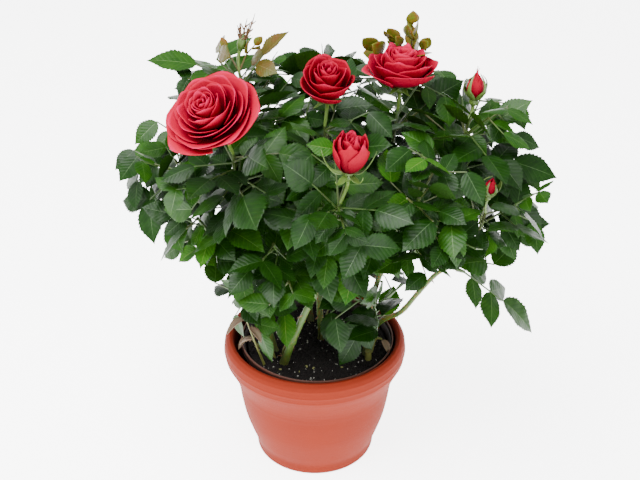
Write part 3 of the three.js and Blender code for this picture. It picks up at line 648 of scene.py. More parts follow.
for number, shoot in enumerate(shoots):
    cane = canes[shoot["cane"]]
    curve = through(cane["path"])
    share = by_length(curve, shoot["at"])
    start, before, after = curve(np.array([share, share - 1e-4, share + 1e-4]))
    bow = np.linalg.norm(shoot["root"] - start) * 0.1
    middle = (start + shoot["root"]) / 2 + unit(after - before) * bow - shoot["axis"] * bow
    thick = min(np.interp(shoot["at"], [0, 1], cane["r"]) * 0.8, 1.9)
    bend = through([start, middle, shoot["root"]])
    limbs_so_far.append(limb_samples(spread(bend, 3), thick, thick * 0.8))
    count = max(int(straight(spread(bend, 3)).length / 1.3), 6)
    shares = np.linspace(0, 1, count + 1)
    radii = thick * (1 - 0.2 * shares) * (1 + 0.12 * np.exp(-(((shares - 0.5) * count / 1.2) ** 2)))
    bark = mesh_made("bough_" + shoot["name"] + "_bark",
                     *bark_tube(spread(bend, count), radii, 12, 0.02, number), bark_finish)
    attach(bark, "root")
    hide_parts("bough_" + shoot["name"])
    shoot["bough"] = spread(bend, count)
    if thick > 1.7:
        prickle_lines.append((shoot["bough"], radii))

# ---------------------------------------------------------------- flowers' places
# Where each flower stands: leaves keep clear of its bloom, of the stalk under it and of its sepals.
# at is the middle of the flower, face the way it looks, depth its height from base to heart; its outermost
# petals reach out to radius, with their rim at the share rim of depth, and heart is the rolled middle.
flowers = [
    {"name": "rose_full_left", "shoot": "left_front", "at": (-71, -70, 340), "face": (-0.337, -0.469, 0.817),
     "radius": 31, "depth": 26, "heart": 11, "rim": 0.42},
    {"name": "rose_middle", "shoot": "centre_top", "at": (10, -15, 339), "face": (0.02, -0.36, 0.93),
     "radius": 20, "depth": 29, "heart": 9, "rim": 0.7},
    {"name": "rose_right", "shoot": "right_top", "at": (66, 25, 331), "face": (0.06, 0.02, 1),
     "radius": 27, "depth": 24, "heart": 12, "rim": 0.55},
    {"name": "rose_half_open", "shoot": "front_centre", "at": (25, -80, 313), "face": (0.06, -0.1, 1),
     "radius": 14, "depth": 30, "heart": 8, "rim": 0.86, "sepals": (24, True)},
    {"name": "bud_red", "shoot": "right", "at": (121, 15, 324), "face": (0.05, -0.05, 1),
     "radius": 8.6, "depth": 23, "sepals": (24, False)},
    {"name": "bud_small", "shoot": "right_outer", "at": (131, -31, 263), "face": (0.16, -0.1, 1),
     "radius": 6.2, "depth": 17, "sepals": (18, False)},
    {"name": "bud_green", "shoot": "left_top", "at": (-53, 20, 359), "face": (0.25, 0, 1),
     "radius": 3.6, "depth": 11, "sepals": (33, False)},
]
hip_neck = 0.7
flower_stalk_radii = (1.2, 1.4)


def hip_of(flower):
    return min(flower["radius"] * 0.42, 4)


def sepals_of(flower):
    """Root, direction, side and length of the five sepals: hanging under an open flower, or round a bud."""
    if "sepals" not in flower:
        return []
    length, is_open = flower["sepals"]
    eastward, north, face = flower["axes"]
    outward, upward = (1, -0.5) if is_open else (0.8, 1)
    found = []
    for turn in np.radians(72 * np.arange(5) + 20):
        away = eastward * math.cos(turn) + north * math.sin(turn)
        root = flower["base"] + away * hip_of(flower) * hip_neck
        found.append((root, unit(away * outward + face * upward), np.cross(face, away), length))
    return found


for flower in flowers:
    flower["at"] = np.array(flower["at"], float)
    flower["face"] = face = unit(np.array(flower["face"], float))
    eastward = unit(np.array([1.0, 0, 0]) - face * face[0])
    flower["axes"] = np.array([eastward, np.cross(face, eastward), face])
    flower["base"] = flower["at"] - flower["face"] * flower["depth"] / 2
    flower["carrier"] = next(shoot for shoot in shoots if shoot["name"] == flower["shoot"])
    under = flower_stalk_radii[1]
    limbs_so_far.append(limb_samples([flower["carrier"]["tip"], flower["base"]], under, under)[1:])
    for root, direction, _, length in sepals_of(flower):
        limbs_so_far.append(limb_samples([root, root + direction * length], 1, 1))

# ---------------------------------------------------------------- leafy stems and leaf stalks
# Green stems carry the leaves, and each leaf is a thin stalk with two pairs of leaflets and one at its end.
# The first leaves of a shoot are those of the solids, by the same seeds; finer twigs with smaller leaves
# then fill what is left of the same space, by the same rule.
stem_radius, stalk_radius = 1.8, 0.9
leaflet_length = 40.0
leaflet_half_width = 0.37  # in leaflet lengths, as the next two
leaflet_fold, leaflet_droop = 0.05, 0.1
stalk_steps = np.array([9.0, 20.0, 14.0])
end_leaflet_sink = 0.54
pair_lengths, pair_spread, pair_roll = (0.66, 0.84), 63.0, 0.1
leaf_sizes = (0.62, 1.15)
crown_axis, crown_foot, crown_depth = np.array([18.0, 0, 0]), 200.0, 150.0
light = np.array([0, -0.45, 1.0])
golden_angle = 137.5
leaflet_reach = 0.62  # from a leaflet's middle to its farthest point, in lengths
space_middle = 0.55  # where the middle of a shoot's space lies on its stem
tries = 14
gap_to_others, gap_to_limbs, gap_to_pot = 2.6, 2.2, 3.0
inside_rims, lowest_leaf, rim_radius = 56.0, 40.0, 75.0
up = np.array([0, 0, 1.0])
grid_along, grid_across = np.meshgrid([0.04, 0.16, 0.28, 0.4, 0.52, 0.64, 0.76, 0.88, 0.99],
                                      [-1, -0.67, -0.33, 0, 0.33, 0.67, 1])


def seeded(seed):
    """Mulberry32: the same seed always gives the same plant."""
    state = seed & 0xFFFFFFFF
    while True:
        state = (state + 0x6D2B79F5) & 0xFFFFFFFF
        t = ((state ^ (state >> 15)) * (state | 1)) & 0xFFFFFFFF
        t = ((t + (((t ^ (t >> 7)) * (t | 61)) & 0xFFFFFFFF)) & 0xFFFFFFFF) ^ t
        yield ((t ^ (t >> 14)) & 0xFFFFFFFF) / 4294967296


def half_width(share):
    return leaflet_half_width * np.maximum(np.sin(math.pi * np.clip(share, 0, 1) ** 0.82), 0) ** 0.8


def blade_lift(share, across):
    return leaflet_fold * across / leaflet_half_width - leaflet_droop * share * share


class Leaflets:
    """The leaflets so far, in arrays that grow: each has a base, three axes, a length and test points."""

    def __init__(self, room):
        self.count = 0
        self.base, self.middle = np.empty((room, 3)), np.empty((room, 3))
        self.axes = np.empty((room, 3, 3))  # direction, side, normal
        self.length = np.empty(room)
        self.samples = np.empty((room, grid_along.size, 3))

    def add(self, leaflet):
        i = self.count
        self.base[i], self.middle[i], self.length[i] = leaflet["base"], leaflet["middle"], leaflet["length"]
        self.axes[i], self.samples[i] = leaflet["axes"], leaflet["samples"]
        self.count += 1

    def near(self, place, within):
        """Which leaflets' middles lie closer to a place than within plus their own reach."""
        away = np.linalg.norm(self.middle[: self.count] - place, axis=1)
        return np.flatnonzero(away <= within + self.length[: self.count] * leaflet_reach)

    def touched_by(self, points, which, gap):
        """Whether any of the points lies closer than gap to the blade of one of these leaflets."""
        if len(which) == 0 or len(points) == 0:
            return False
        length = self.length[which][:, None]
        offset = (points[None] - self.base[which][:, None]) / length[..., None]
        return bool(near_blade(offset, self.axes[which], gap / length).any())


def near_blade(offset, axes, margin):
    """Whether offsets from a leaflet's base, in its lengths, lie within a margin of its blade."""
    along, across, high = np.moveaxis(np.einsum("npk,nak->npa", offset, axes), 2, 0)
    across = np.abs(across)
    return ((along >= -margin) & (along <= 1 + margin) & (across <= half_width(along) + margin)
            & (np.abs(high - blade_lift(along, across)) < margin))


def leaflet_made(base, direction, normal, length):
    """A leaflet with test points all over its blade."""
    side = unit(np.cross(direction, normal))
    wide = grid_across * half_width(grid_along)
    lift = blade_lift(grid_along, np.abs(wide))
    samples = (base + grid_along.reshape(-1, 1) * direction * length + wide.reshape(-1, 1) * side * length
               + lift.reshape(-1, 1) * normal * length)
    return {"base": base, "axes": np.array([direction, side, normal]), "length": length, "samples": samples,
            "middle": base + direction * length / 2}


def leaf_made(draw, origin, direction, size, droop):
    """A compound leaf: a straight stalk with two pairs of leaflets and one at its end."""
    steps = stalk_steps * size
    total = steps.sum()
    forward = unit(direction - up * droop)
    outward = (origin - crown_axis) * [1, 1, 0]
    outward /= max(np.linalg.norm(outward), 30)
    height = min(max((origin[2] - crown_foot) / crown_depth, 0), 1)
    facing = light + outward * (0.8 - 0.5 * height)
    facing = facing + np.array([next(draw) - 0.5, next(draw) - 0.5, 0]) * 0.6
    normal = unit(facing - forward * facing.dot(forward))
    side = unit(np.cross(forward, normal))
    leaflets = []

    def add(distance, turn, length, roll):
        lean = turn + (next(draw) - 0.5) * 0.24
        pointing = forward * math.cos(lean) + side * math.sin(lean) + up * (-0.1 - 0.18 * next(draw))
        pointing = unit(pointing)
        face = normal + side * (roll + (next(draw) - 0.5) * 0.4)
        face = face + forward * ((next(draw) - 0.5) * 0.4)
        face = unit(face - pointing * face.dot(pointing))
        leaflets.append(leaflet_made(origin + forward * distance, pointing, face, length))

    add(total - end_leaflet_sink, 0, leaflet_length * size * (0.95 + 0.15 * next(draw)), 0)
    for pair, distance in ((1, steps[0] + steps[1]), (0, steps[0])):
        for hand in (-1, 1):
            length = leaflet_length * size * pair_lengths[pair] * (0.92 + 0.16 * next(draw))
            add(distance, hand * math.radians(pair_spread), length, -hand * pair_roll)
    return {"stalk": [origin, origin + forward * total], "leaflets": leaflets}


def clear_of_pot(points):
    """Whether points lie over the peat inside the rim, over the rim round it, or beside the pot."""
    away = np.hypot(points[:, 0], points[:, 1])
    beyond = np.where(away > rim_radius + gap_to_pot, lowest_leaf, pot_height + gap_to_pot)
    return bool((points[:, 2] > np.where(away < inside_rims, soil_top + gap_to_pot, beyond)).all())


def clear_of_flowers(points):
    for flower in flowers:
        offset = points - flower["at"]
        high = offset @ flower["face"]
        wide_squared = np.maximum((offset**2).sum(axis=1) - high**2, 0)
        wide_share = wide_squared / (flower["radius"] + 3) ** 2
        if (wide_share + (high / (flower["depth"] * 0.62 + 2)) ** 2 <= 1).any():
            return False
    return True


class Limbs:
    """Points along limbs, with radii, in an array that grows."""

    def __init__(self, room):
        self.rows = np.empty((room, 4))
        self.count = 0

    def add(self, rows):
        self.rows[self.count : self.count + len(rows)] = rows
        self.count += len(rows)

    def clear_of(self, points, gap):
        if len(points) == 0:
            return True
        middle = (points.min(axis=0) + points.max(axis=0)) / 2
        around = np.linalg.norm(points - middle, axis=1).max() + gap
        rows = self.rows[: self.count]
        rows = rows[np.linalg.norm(rows[:, :3] - middle, axis=1) < around + rows[:, 3]]
        if len(rows) == 0:
            return True
        away = np.linalg.norm(points[:, None] - rows[None, :, :3], axis=2)
        return bool((away > rows[:, 3] + gap).all())


limbs, stalks, leaflets = Limbs(6000), Limbs(60000), Leaflets(6000)
for rows in limbs_so_far:
    limbs.add(rows)
for shoot in shoots:
    stalks.add(limb_samples([shoot["root"], shoot["tip"]], stem_radius, stem_radius))


def stalk_is_free(points, gap):
    if len(points) == 0:
        return True
    middle = (points[0] + points[-1]) / 2
    around = np.linalg.norm(points[0] - points[-1]) / 2 + gap
    return (clear_of_pot(points) and clear_of_flowers(points) and limbs.clear_of(points, gap)
            and stalks.clear_of(points, gap)
            and not leaflets.touched_by(points, leaflets.near(middle, around), gap))


def leaflet_is_free(leaflet, space, gap, limb_gap):
    points = leaflet["samples"]
    if space and ((((points - space[0]) / space[1]) ** 2).sum(axis=1) >= 1).any():
        return False
    if not (clear_of_pot(points) and limbs.clear_of(points, limb_gap) and stalks.clear_of(points, limb_gap)):
        return False
    if not clear_of_flowers(points):
        return False
    which = leaflets.near(leaflet["middle"], leaflet["length"] * leaflet_reach + gap)
    if len(which) == 0:
        return True
    if leaflets.touched_by(points, which, gap):
        return False
    offset = (leaflets.samples[which] - leaflet["base"]) / leaflet["length"]
    axes = np.repeat(leaflet["axes"][None], len(which), axis=0)
    return not near_blade(offset, axes, gap / leaflet["length"]).any()


def leaning(axis, turn, lift):
    """A direction that leans away from an axis by the angle lift, on the side that turn says."""
    across = unit(np.cross(axis, [0, 1.0, 0]))
    other = np.cross(axis, across)
    return (axis * math.cos(lift) + across * math.cos(turn) * math.sin(lift)
            + other * math.sin(turn) * math.sin(lift))


def leaf_grown(shoot, root, tip, seed, i, space, aim, inner, sizes, gaps):
    """Tries a leaf several times and keeps the try that has most of its leaflets, or none with under two."""
    best = None
    for attempt in range(tries):
        if best and len(best["leaflets"]) == 5:
            break
        draw = seeded(seed + attempt)
        if aim is not None:
            share = 0.25 + 0.65 * next(draw)
        else:
            share = min(max((inner[0] + next(draw)) / inner[1], 0.06), 0.94)
        origin = root + (tip - root) * share
        size = (sizes[0] + (sizes[1] - sizes[0]) * share) * (0.92 + 0.16 * next(draw))
        if aim is not None:
            direction = np.array(aim, float) - origin
            size = min(max(np.linalg.norm(direction) / (stalk_steps.sum() + leaflet_length), leaf_sizes[0]),
                       leaf_sizes[1])
            direction = unit(direction) + up * 0.1
            droop = 0.1
        else:
            turn = math.radians(golden_angle * i + 51 * attempt + 40 * shoot["number"])
            direction = leaning(unit(tip - root), turn, math.radians(42 + 36 * next(draw)))
            droop = 0.14 + 0.14 * next(draw)
        leaf = leaf_made(draw, origin, unit(direction), size, droop)
        samples = limb_samples(leaf["stalk"], stalk_radius, stalk_radius)
        if not stalk_is_free(samples[2:, :3], gaps[1]):
            continue
        leaf["leaflets"] = [each for each in leaf["leaflets"] if leaflet_is_free(each, space, *gaps)]
        leaf["size"], leaf["samples"] = size, samples
        if best is None or len(leaf["leaflets"]) > len(best["leaflets"]):
            best = leaf
    if best is None or len(best["leaflets"]) < 2:
        return None
    for leaflet in best["leaflets"]:
        leaflets.add(leaflet)
    stalks.add(best["samples"])
    best["shoot"] = shoot
    return best


leaves, stems = [], []
for number, shoot in enumerate(shoots, 1):
    shoot["number"] = number
    root, tip = shoot["root"], shoot["tip"]
    shoot["space"] = space = (root + (tip - root) * space_middle, shoot["reach"])
    stems.append([root, tip])
    aims = shoot["aims"]
    for i in range(len(aims) + shoot["inner"]):
        aim = aims[i] if i < len(aims) else None
        inner = (i - len(aims), shoot["inner"])
        leaf = leaf_grown(shoot, root, tip, number * 1000 + i * 20, i, None if aim else space, aim, inner,
                          (1.02, 0.86), (gap_to_others, gap_to_limbs))
        if leaf:
            leaves.append(leaf)

# Finer twigs leave the stem by the same turn and carry smaller leaves, down to twigs_per_shoot a shoot.
twigs_per_shoot, leaves_per_twig, leaves_on_stem, leaves_on_bough = 8, 5, 8, 3
twig_radius = 1.0
twig_lengths = (24.0, 46.0)
fine_sizes = (1.0, 0.74)
fine_gaps = (1.3, 1.5)
crown_low, crown_high = (np.array(corner) / MM for corner in solid_box)
skirt_foot, skirt_radius, skirt_slope, skirt_top, skirt_front = 112.0, 60.0, 2.3, 188.0, 0.45
twig_over_skirt, leaf_under_skirt = 8.0, 6.0
end_leaf_start, end_leaf_reach = 0.82, 32.0  # where a stem's end leaf leaves it, and how far past it points


def over_skirt(point):
    """How far a point stands over the crown's open underside, which rises outwards from the pot."""
    away = math.hypot(point[0], point[1])
    beside = min(max((abs(point[0]) - 50) / 35, 0), 1)
    raised = skirt_front * max(-point[1], 0) * beside
    return point[2] - min(skirt_foot + skirt_slope * (away - skirt_radius), skirt_top) - raised


def inside(points, space):
    """Whether points keep to a shoot's space and to the whole bush's box."""
    within = (((points - space[0]) / space[1]) ** 2).sum(axis=1) < 1
    return bool((within & (points > crown_low + 2).all(axis=1) & (points < crown_high - 2).all(axis=1)).all())


def twig_grown(shoot, k):
    """A twig's foot and tip: the first try that keeps to the shoot's space and off the crown's underside."""
    root = shoot["root"]
    for attempt in range(tries):
        draw = seeded(500000 + shoot["number"] * 1000 + k * 20 + attempt)
        origin = root + (shoot["tip"] - root) * (0.1 + 0.85 * next(draw))
        turn = math.radians(golden_angle * k + 47 * attempt + 25 * shoot["number"])
        direction = leaning(shoot["axis"], turn, math.radians(30 + 55 * next(draw)))
        length = twig_lengths[0] + (twig_lengths[1] - twig_lengths[0]) * next(draw)
        tip = origin + unit(direction) * length
        samples = limb_samples([origin, tip], twig_radius, twig_radius)
        if (inside(samples[:, :3], shoot["space"]) and over_skirt(tip) > twig_over_skirt
                and stalk_is_free(samples[2:, :3], fine_gaps[1])):
            stalks.add(samples)
            return origin, tip
    return None


for shoot in shoots:
    if shoot["name"] == "drooping":  # a bare arching cane with a few leaves
        continue
    space = shoot["space"]
    carriers = [(shoot["root"], shoot["tip"], leaves_on_stem)]
    if len(shoot["bough"]) > 8:
        carriers.append((shoot["bough"][len(shoot["bough"]) // 3], shoot["root"], leaves_on_bough))
    for k in range(twigs_per_shoot):
        twig = twig_grown(shoot, k)
        if twig:
            stems.append([*twig])
            carriers.append((*twig, leaves_per_twig))
    for k, (root, tip, count) in enumerate(carriers):
        near_tip = root + (tip - root) * end_leaf_start
        end_seed = 900000 + shoot["number"] * 1000 + k * 20
        grown = [leaf_grown(shoot, near_tip, tip, end_seed, k, space, tip + unit(tip - root) * end_leaf_reach,
                            (0, 1), fine_sizes, fine_gaps)]
        for i in range(count):
            seed = 700000 + shoot["number"] * 10000 + k * 500 + i * 20
            grown.append(leaf_grown(shoot, root, tip, seed, i + 3 * k, space, None, (i, count), fine_sizes,
                                    fine_gaps))
        leaves += [leaf for leaf in grown if leaf]

for leaf in leaves:
    if leaf["shoot"]["name"] != "drooping":
        tips = [each["base"] + each["axes"][0] * each["length"] for each in leaf["leaflets"]]
        leaf["leaflets"] = [each for each, end in zip(leaf["leaflets"], tips)
                            if over_skirt(end) > -leaf_under_skirt]
leaves = [leaf for leaf in leaves if leaf["leaflets"]]


def trimmed(root, tip):
    """The stem up to its last leaf, or None where it carries none."""
    axis = unit(tip - root)
    starts = np.array([leaf["stalk"][0] for leaf in leaves]) - root
    along = starts @ axis
    off_line = np.linalg.norm(starts - np.outer(along, axis), axis=1)
    along = along[(off_line < 0.5) & (along > 0) & (along < np.linalg.norm(tip - root) + 0.5)]
    return [root, root + axis * (along.max() + 1)] if len(along) else None


def tubes(tree, lines, sizes):
    """A round tube along every line, as thick as the line's attribute thick says."""
    ring = tree.node("GeometryNodeCurvePrimitiveCircle", {}, {"Resolution": sizes["Sides"], "Radius": 1.0})
    curve = tree.node("GeometryNodeMeshToCurve", {}, {"Mesh": lines})
    made = tree.node("GeometryNodeCurveToMesh", {}, {
        "Curve": curve, "Profile Curve": ring, "Scale": tree.named("thick"), "Fill Caps": True})
    return tree.dressed(tree.node("GeometryNodeSetShadeSmooth", {}, {0: made}), sizes["Finish"])


tube_rule = rule_made("tubes_on_lines", {"Sides": "Int", "Finish": "Material"}, tubes)


def tubes_made(name, lines, sides, finish):
    """One mesh of tubes from lines: each is its points and their radii."""
    points, edges, thick = [], [], []
    for line, radii in lines:
        edges += [(len(points) + i, len(points) + i + 1) for i in range(len(line) - 1)]
        points.extend(line)
        thick.extend(radii)
    carrier = mesh_made(name + "_lines", points, [], edges=edges)
    mark(carrier, "thick", np.array(thick) * MM)
    return mesh_from_rule(name, carrier, tube_rule, Sides=sides, Finish=finish)


def stem_green(tree):
    streaks = tree.clouds(0.5, 3.0)
    cloud = tree.clouds(0.03, 2.0)
    green = tree.mix(streaks, paint(54, 92, 20), paint(84, 120, 40))
    return {"Base Color": tree.mix((cloud - 0.48) * 2.5, green, paint(104, 84, 44)), "Roughness": 0.45,
            "Normal": tree.bump(streaks, 0.2)}


stalk_finish = finish_made("green_stalks", stem_green)
flower_carriers = [flower["shoot"] for flower in flowers]
stem_lines = []
for number, (root, tip) in enumerate(stems):
    is_shoot = number < len(shoots)
    line = [root, tip] if is_shoot and shoots[number]["name"] in flower_carriers else trimmed(root, tip)
    if line:
        shares = np.linspace(0, 1, 8)
        thick = (stem_radius if is_shoot else twig_radius) * (1 - 0.35 * shares)
        stem_lines.append((line[0] + np.outer(shares, line[1] - line[0]), thick))
stalk_lines = []
for leaf in leaves:
    start, forward = leaf["stalk"][0], unit(leaf["stalk"][1] - leaf["stalk"][0])
    end = start + forward * (max((each["base"] - start).dot(forward) for each in leaf["leaflets"]) + 0.5)
    shares = np.linspace(0, 1, 7)
    thick = 0.85 * (1 - 0.35 * shares) * leaf["size"] ** 0.5
    stalk_lines.append((start + np.outer(shares, end - start), thick))
leafy_stems = tubes_made("leafy_stems", stem_lines, 10, stalk_finish)
leaf_stalks = tubes_made("leaf_stalks", stalk_lines, 6, stalk_finish)
for grown in (leafy_stems, leaf_stalks):
    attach(grown, "root")

# ---------------------------------------------------------------- leaflets
# Every leaflet is a thin blade with a saw-toothed edge, folded a little at its pale midrib, glossy above and
# dull below. One flat blade is set on every leaflet's place and then bent. Colours are dealt out leaf by
# leaf: dark old leaves, green ones, fresh yellow-green ones and bronze young ones.
teeth = 12
tooth_depth = 0.93  # of the half width, between the teeth
blade_half_width = 0.335
rib_half_width = 0.007
side_veins = 8
blade_thickness = 0.011


def blade_made():
    """A flat leaflet along +Y, one unit long: its upper side with a midrib, and its under side."""
    stations = np.linspace(0, 1, teeth + 1)
    swell = lambda share: np.sin(math.pi * np.clip(share, 0, 1) ** 0.82)
    wide = lambda share: blade_half_width * swell(share) ** (0.64 + 0.6 * share)
    points, faces, outline = [], [], []
    sides = []  # of each face: 0 the upper blade, 1 its midrib, 2 the under side

    def row(hand, share_of_width, shares, z=0.0):
        """A line of points from foot to tip at a share of the half width; the ends are shared."""
        first = len(points)
        halves = share_of_width * wide(shares)
        points.extend((hand * across, along, z) for across, along in zip(halves, shares))
        return [0, *range(first, len(points)), 1]

    points += [(0, 0, 0), (0, 1, 0)]
    raised = blade_thickness / 2
    inner = stations[1:-1]
    keel = row(0, 0, inner, -raised)
    for hand in (-1, 1):
        rib = row(hand, rib_half_width / blade_half_width, inner, raised)
        notches = row(hand, tooth_depth, inner)
        tips = row(hand, 1.05, stations[:-1] + 0.86 / teeth)[1:-1]
        outline += [pair for i in range(teeth) for pair in ((notches[i], tips[i]), (tips[i], notches[i + 1]))]
        if hand == -1:
            left_rib = rib
        for side, start, height in ((0, rib, raised), (2, keel, -raised)):
            beside = row(hand, 0.8, inner, height)
            for i in range(teeth):
                strips = [[start[i], beside[i], beside[i + 1], start[i + 1]],
                          [beside[i], notches[i], tips[i]], [beside[i], tips[i], beside[i + 1]],
                          [beside[i + 1], tips[i], notches[i + 1]]]
                for face in strips:
                    faces.append(face if (hand == 1) == (side == 0) else face[::-1])
                    sides.append(side)
    for i in range(teeth):
        faces.append([left_rib[i], rib[i], rib[i + 1], left_rib[i + 1]])
        sides.append(1)
    faces = [[v for k, v in enumerate(face) if v != face[k - 1]] for face in faces]
    kept = [(face, side) for face, side in zip(faces, sides) if len(face) > 2]
    made = mesh_made("blade", np.array(points) / MM, [face for face, _ in kept])
    sharp = {tuple(sorted(pair)) for pair in outline}
    is_sharp = [tuple(sorted(edge.vertices)) in sharp for edge in made.data.edges]
    mark(made, "side", [side for _, side in kept], "INT", "FACE")
    mark(made, "sharp_edge", is_sharp, "BOOLEAN", "EDGE")
    mark(made, "blade", points, "FLOAT_VECTOR")
    return made


def leaflets_grown(tree, points, sizes):
    """Sets the blade on every point, along its direction and facing its face, and bends it."""
    direction, face = tree.named("direction", "FLOAT_VECTOR"), tree.named("face", "FLOAT_VECTOR")
    length = tree.named("length")
    turn = tree.node("FunctionNodeAxesToRotation", {"primary_axis": "Y", "secondary_axis": "Z"},
                     {"Primary Axis": direction, "Secondary Axis": face})
    blade = tree.node("GeometryNodeObjectInfo", {}, {"Object": sizes["Blade"]}, out="Geometry")
    made = tree.node("GeometryNodeInstanceOnPoints", {}, {
        "Points": points, "Instance": blade, "Rotation": turn, "Scale": length})
    made = tree.node("GeometryNodeRealizeInstances", {}, {0: made})
    on_blade = tree.named("blade", "FLOAT_VECTOR")
    across, along = tree.part(on_blade, "X"), tree.part(on_blade, "Y")
    wide = across.size()
    lift = (tree.named("fold") * wide - tree.named("droop") * along * along
            - tree.named("curl") * wide * wide * 3.0 + tree.named("twist") * across * along
            + sizes["Wave"] * (along * 21.0 + tree.named("phase")).sine() * wide)
    made = tree.node("GeometryNodeSetPosition", {}, {
        "Geometry": made, "Offset": tree.scaled(face, lift * length)})
    made = tree.node("GeometryNodeSetShadeSmooth", {}, {0: made})
    side = tree.named("side", "INT")
    for number, key in enumerate(("Upper", "Rib", "Under")):
        equal = {"data_type": "INT", "operation": "EQUAL"}
        here = tree.node("FunctionNodeCompare", equal, {0: side, 1: number})
        made = tree.node("GeometryNodeSetMaterial", {}, {
            "Geometry": made, "Selection": here, "Material": sizes[key]})
    return made


leaflet_rule = rule_made("leaflets_on_stalks", {
    "Blade": "Object", "Upper": "Material", "Rib": "Material", "Under": "Material", "Wave": "Float"},
    leaflets_grown)

leaf_paints = {
    # name: (blade, its lighter clouds, midrib and veins, under side)
    "dark": (paint(14, 54, 0), paint(30, 78, 0), paint(52, 98, 18), paint(38, 70, 16)),
    "green": (paint(28, 78, 0), paint(52, 104, 2), paint(76, 124, 24), paint(50, 82, 20)),
    "fresh": (paint(40, 104, 2), paint(72, 130, 10), paint(120, 160, 44), paint(74, 106, 26)),
    "bronze": (paint(90, 96, 18), paint(124, 72, 22), paint(140, 120, 44), paint(98, 52, 26)),
}


def blade_finish(blade, cloud, vein, dull):
    """The finish of one side of a blade, with side veins that leave the midrib forwards."""

    def recipe(tree):
        on_blade = tree.node("ShaderNodeAttribute", {"attribute_name": "blade"}, out="Vector")
        across, along = tree.part(on_blade, "X").size(), tree.part(on_blade, "Y")
        waves = ((along - across * 0.9) * (2 * math.pi * side_veins)).sine()
        veins = ((waves - 0.86) * 7.0).clamped()
        patches = tree.clouds(0.12, 3.0)
        colour = tree.mix((patches - 0.35) * 1.8, blade, cloud)
        return {
            "Base Color": tree.mix(veins * 0.28, colour, vein),
            "Roughness": 0.62 if dull else 0.28 + 0.2 * patches,
            "Normal": tree.bump(waves * (0.3 if dull else -0.3) - veins * 0.3 + patches * 0.4, 0.2, 0.5),
            "Specular IOR Level": 0.05 if dull else 0.15,
        }

    return recipe


def kind_of(leaf, draw):
    """Which of the four colours a leaf has: young ones stand at the top."""
    height = leaf["stalk"][1][2]
    chance = next(draw)
    if height > 322 and chance < 0.16:
        return "bronze"
    if height < 150 and chance < 0.2 or chance < 0.06:
        return "fresh"
    return "green" if chance < 0.45 else "dark"


leaf_draw = seeded(2024)
kinds = {kind: [] for kind in leaf_paints}
for leaf in leaves:
    kinds[kind_of(leaf, leaf_draw)].extend(leaf["leaflets"])

blade = blade_made()
for kind, (blade_colour, cloud, vein, under) in leaf_paints.items():
    grown = kinds[kind]
    carrier = mesh_made(kind + "_places", [each["base"] for each in grown], [])
    mark(carrier, "direction", [each["axes"][0] for each in grown], "FLOAT_VECTOR")
    mark(carrier, "face", [each["axes"][2] for each in grown], "FLOAT_VECTOR")
    mark(carrier, "length", [each["length"] * MM for each in grown])
    bends = {"fold": (0.04, 0.36), "droop": (0.06, 0.2), "curl": (0.0, 0.3), "twist": (-0.2, 0.2),
             "phase": (0.0, 6.28)}
    for name, (least, most) in bends.items():
        mark(carrier, name, [least + (most - least) * next(leaf_draw) for _ in grown])
    leaf_piece = mesh_from_rule(
        "leaves_" + kind + "_blades", carrier, leaflet_rule, Blade=blade, Wave=0.03,
        Upper=finish_made(kind + "_leaf", blade_finish(blade_colour, cloud, vein, False)),
        Rib=finish_made(kind + "_midrib", lambda tree: {"Base Color": vein, "Roughness": 0.5}),
        Under=finish_made(kind + "_underleaf", blade_finish(under, cloud, vein, True)))
    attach(leaf_piece, "root")
    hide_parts(*(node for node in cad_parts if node.startswith("leaves_")))
bpy.data.objects.remove(blade)

# ---------------------------------------------------------------- blooms
# Roses: crimson velvety petals that stand in a spiral round the rolled heart, each a cupped sheet on a narrow
# foot whose rim rolls outwards to a blunt point. Inner petals wrap round the heart, the outermost lie open.
petal_thickness = 0.42
petal_rows, petal_columns = 13, 17
blooms = {
    # petals in the heart and outside it, how far the outer rims roll back, their point and half angle,
    # how far the rims close over the heart again, and how much taller the petals stand than the heart
    "rose_full_left": {"heart_petals": 13, "outer_petals": 22, "roll": 4.2, "point": 0.1, "spread": 0.98,
                       "closing": 0.0, "tall": 1.15},
    "rose_middle": {"heart_petals": 12, "outer_petals": 9, "roll": 3.4, "point": 0.1, "spread": 1.2,
                    "closing": 0.05, "tall": 1.1},
    "rose_right": {"heart_petals": 11, "outer_petals": 15, "roll": 4.6, "point": 0.13, "spread": 0.95,
                   "closing": 0.0, "tall": 1.28},
    "rose_half_open": {"heart_petals": 9, "outer_petals": 11, "roll": 1.3, "point": 0.14, "spread": 0.9,
                       "closing": 0.22, "tall": 1.04},
    "bud_red": {"heart_petals": 2, "outer_petals": 6, "roll": 0.0, "point": 0.22, "spread": 1.6,
                "closing": 0.9, "tall": 1.1},
    "bud_small": {"heart_petals": 2, "outer_petals": 5, "roll": 0.0, "point": 0.15, "spread": 1.6,
                  "closing": 0.86, "tall": 1.0},
}
petal_foot = 1.3
golden_petal = math.radians(golden_angle)
bright_from = 25  # the radius from which a rose has the bright petals


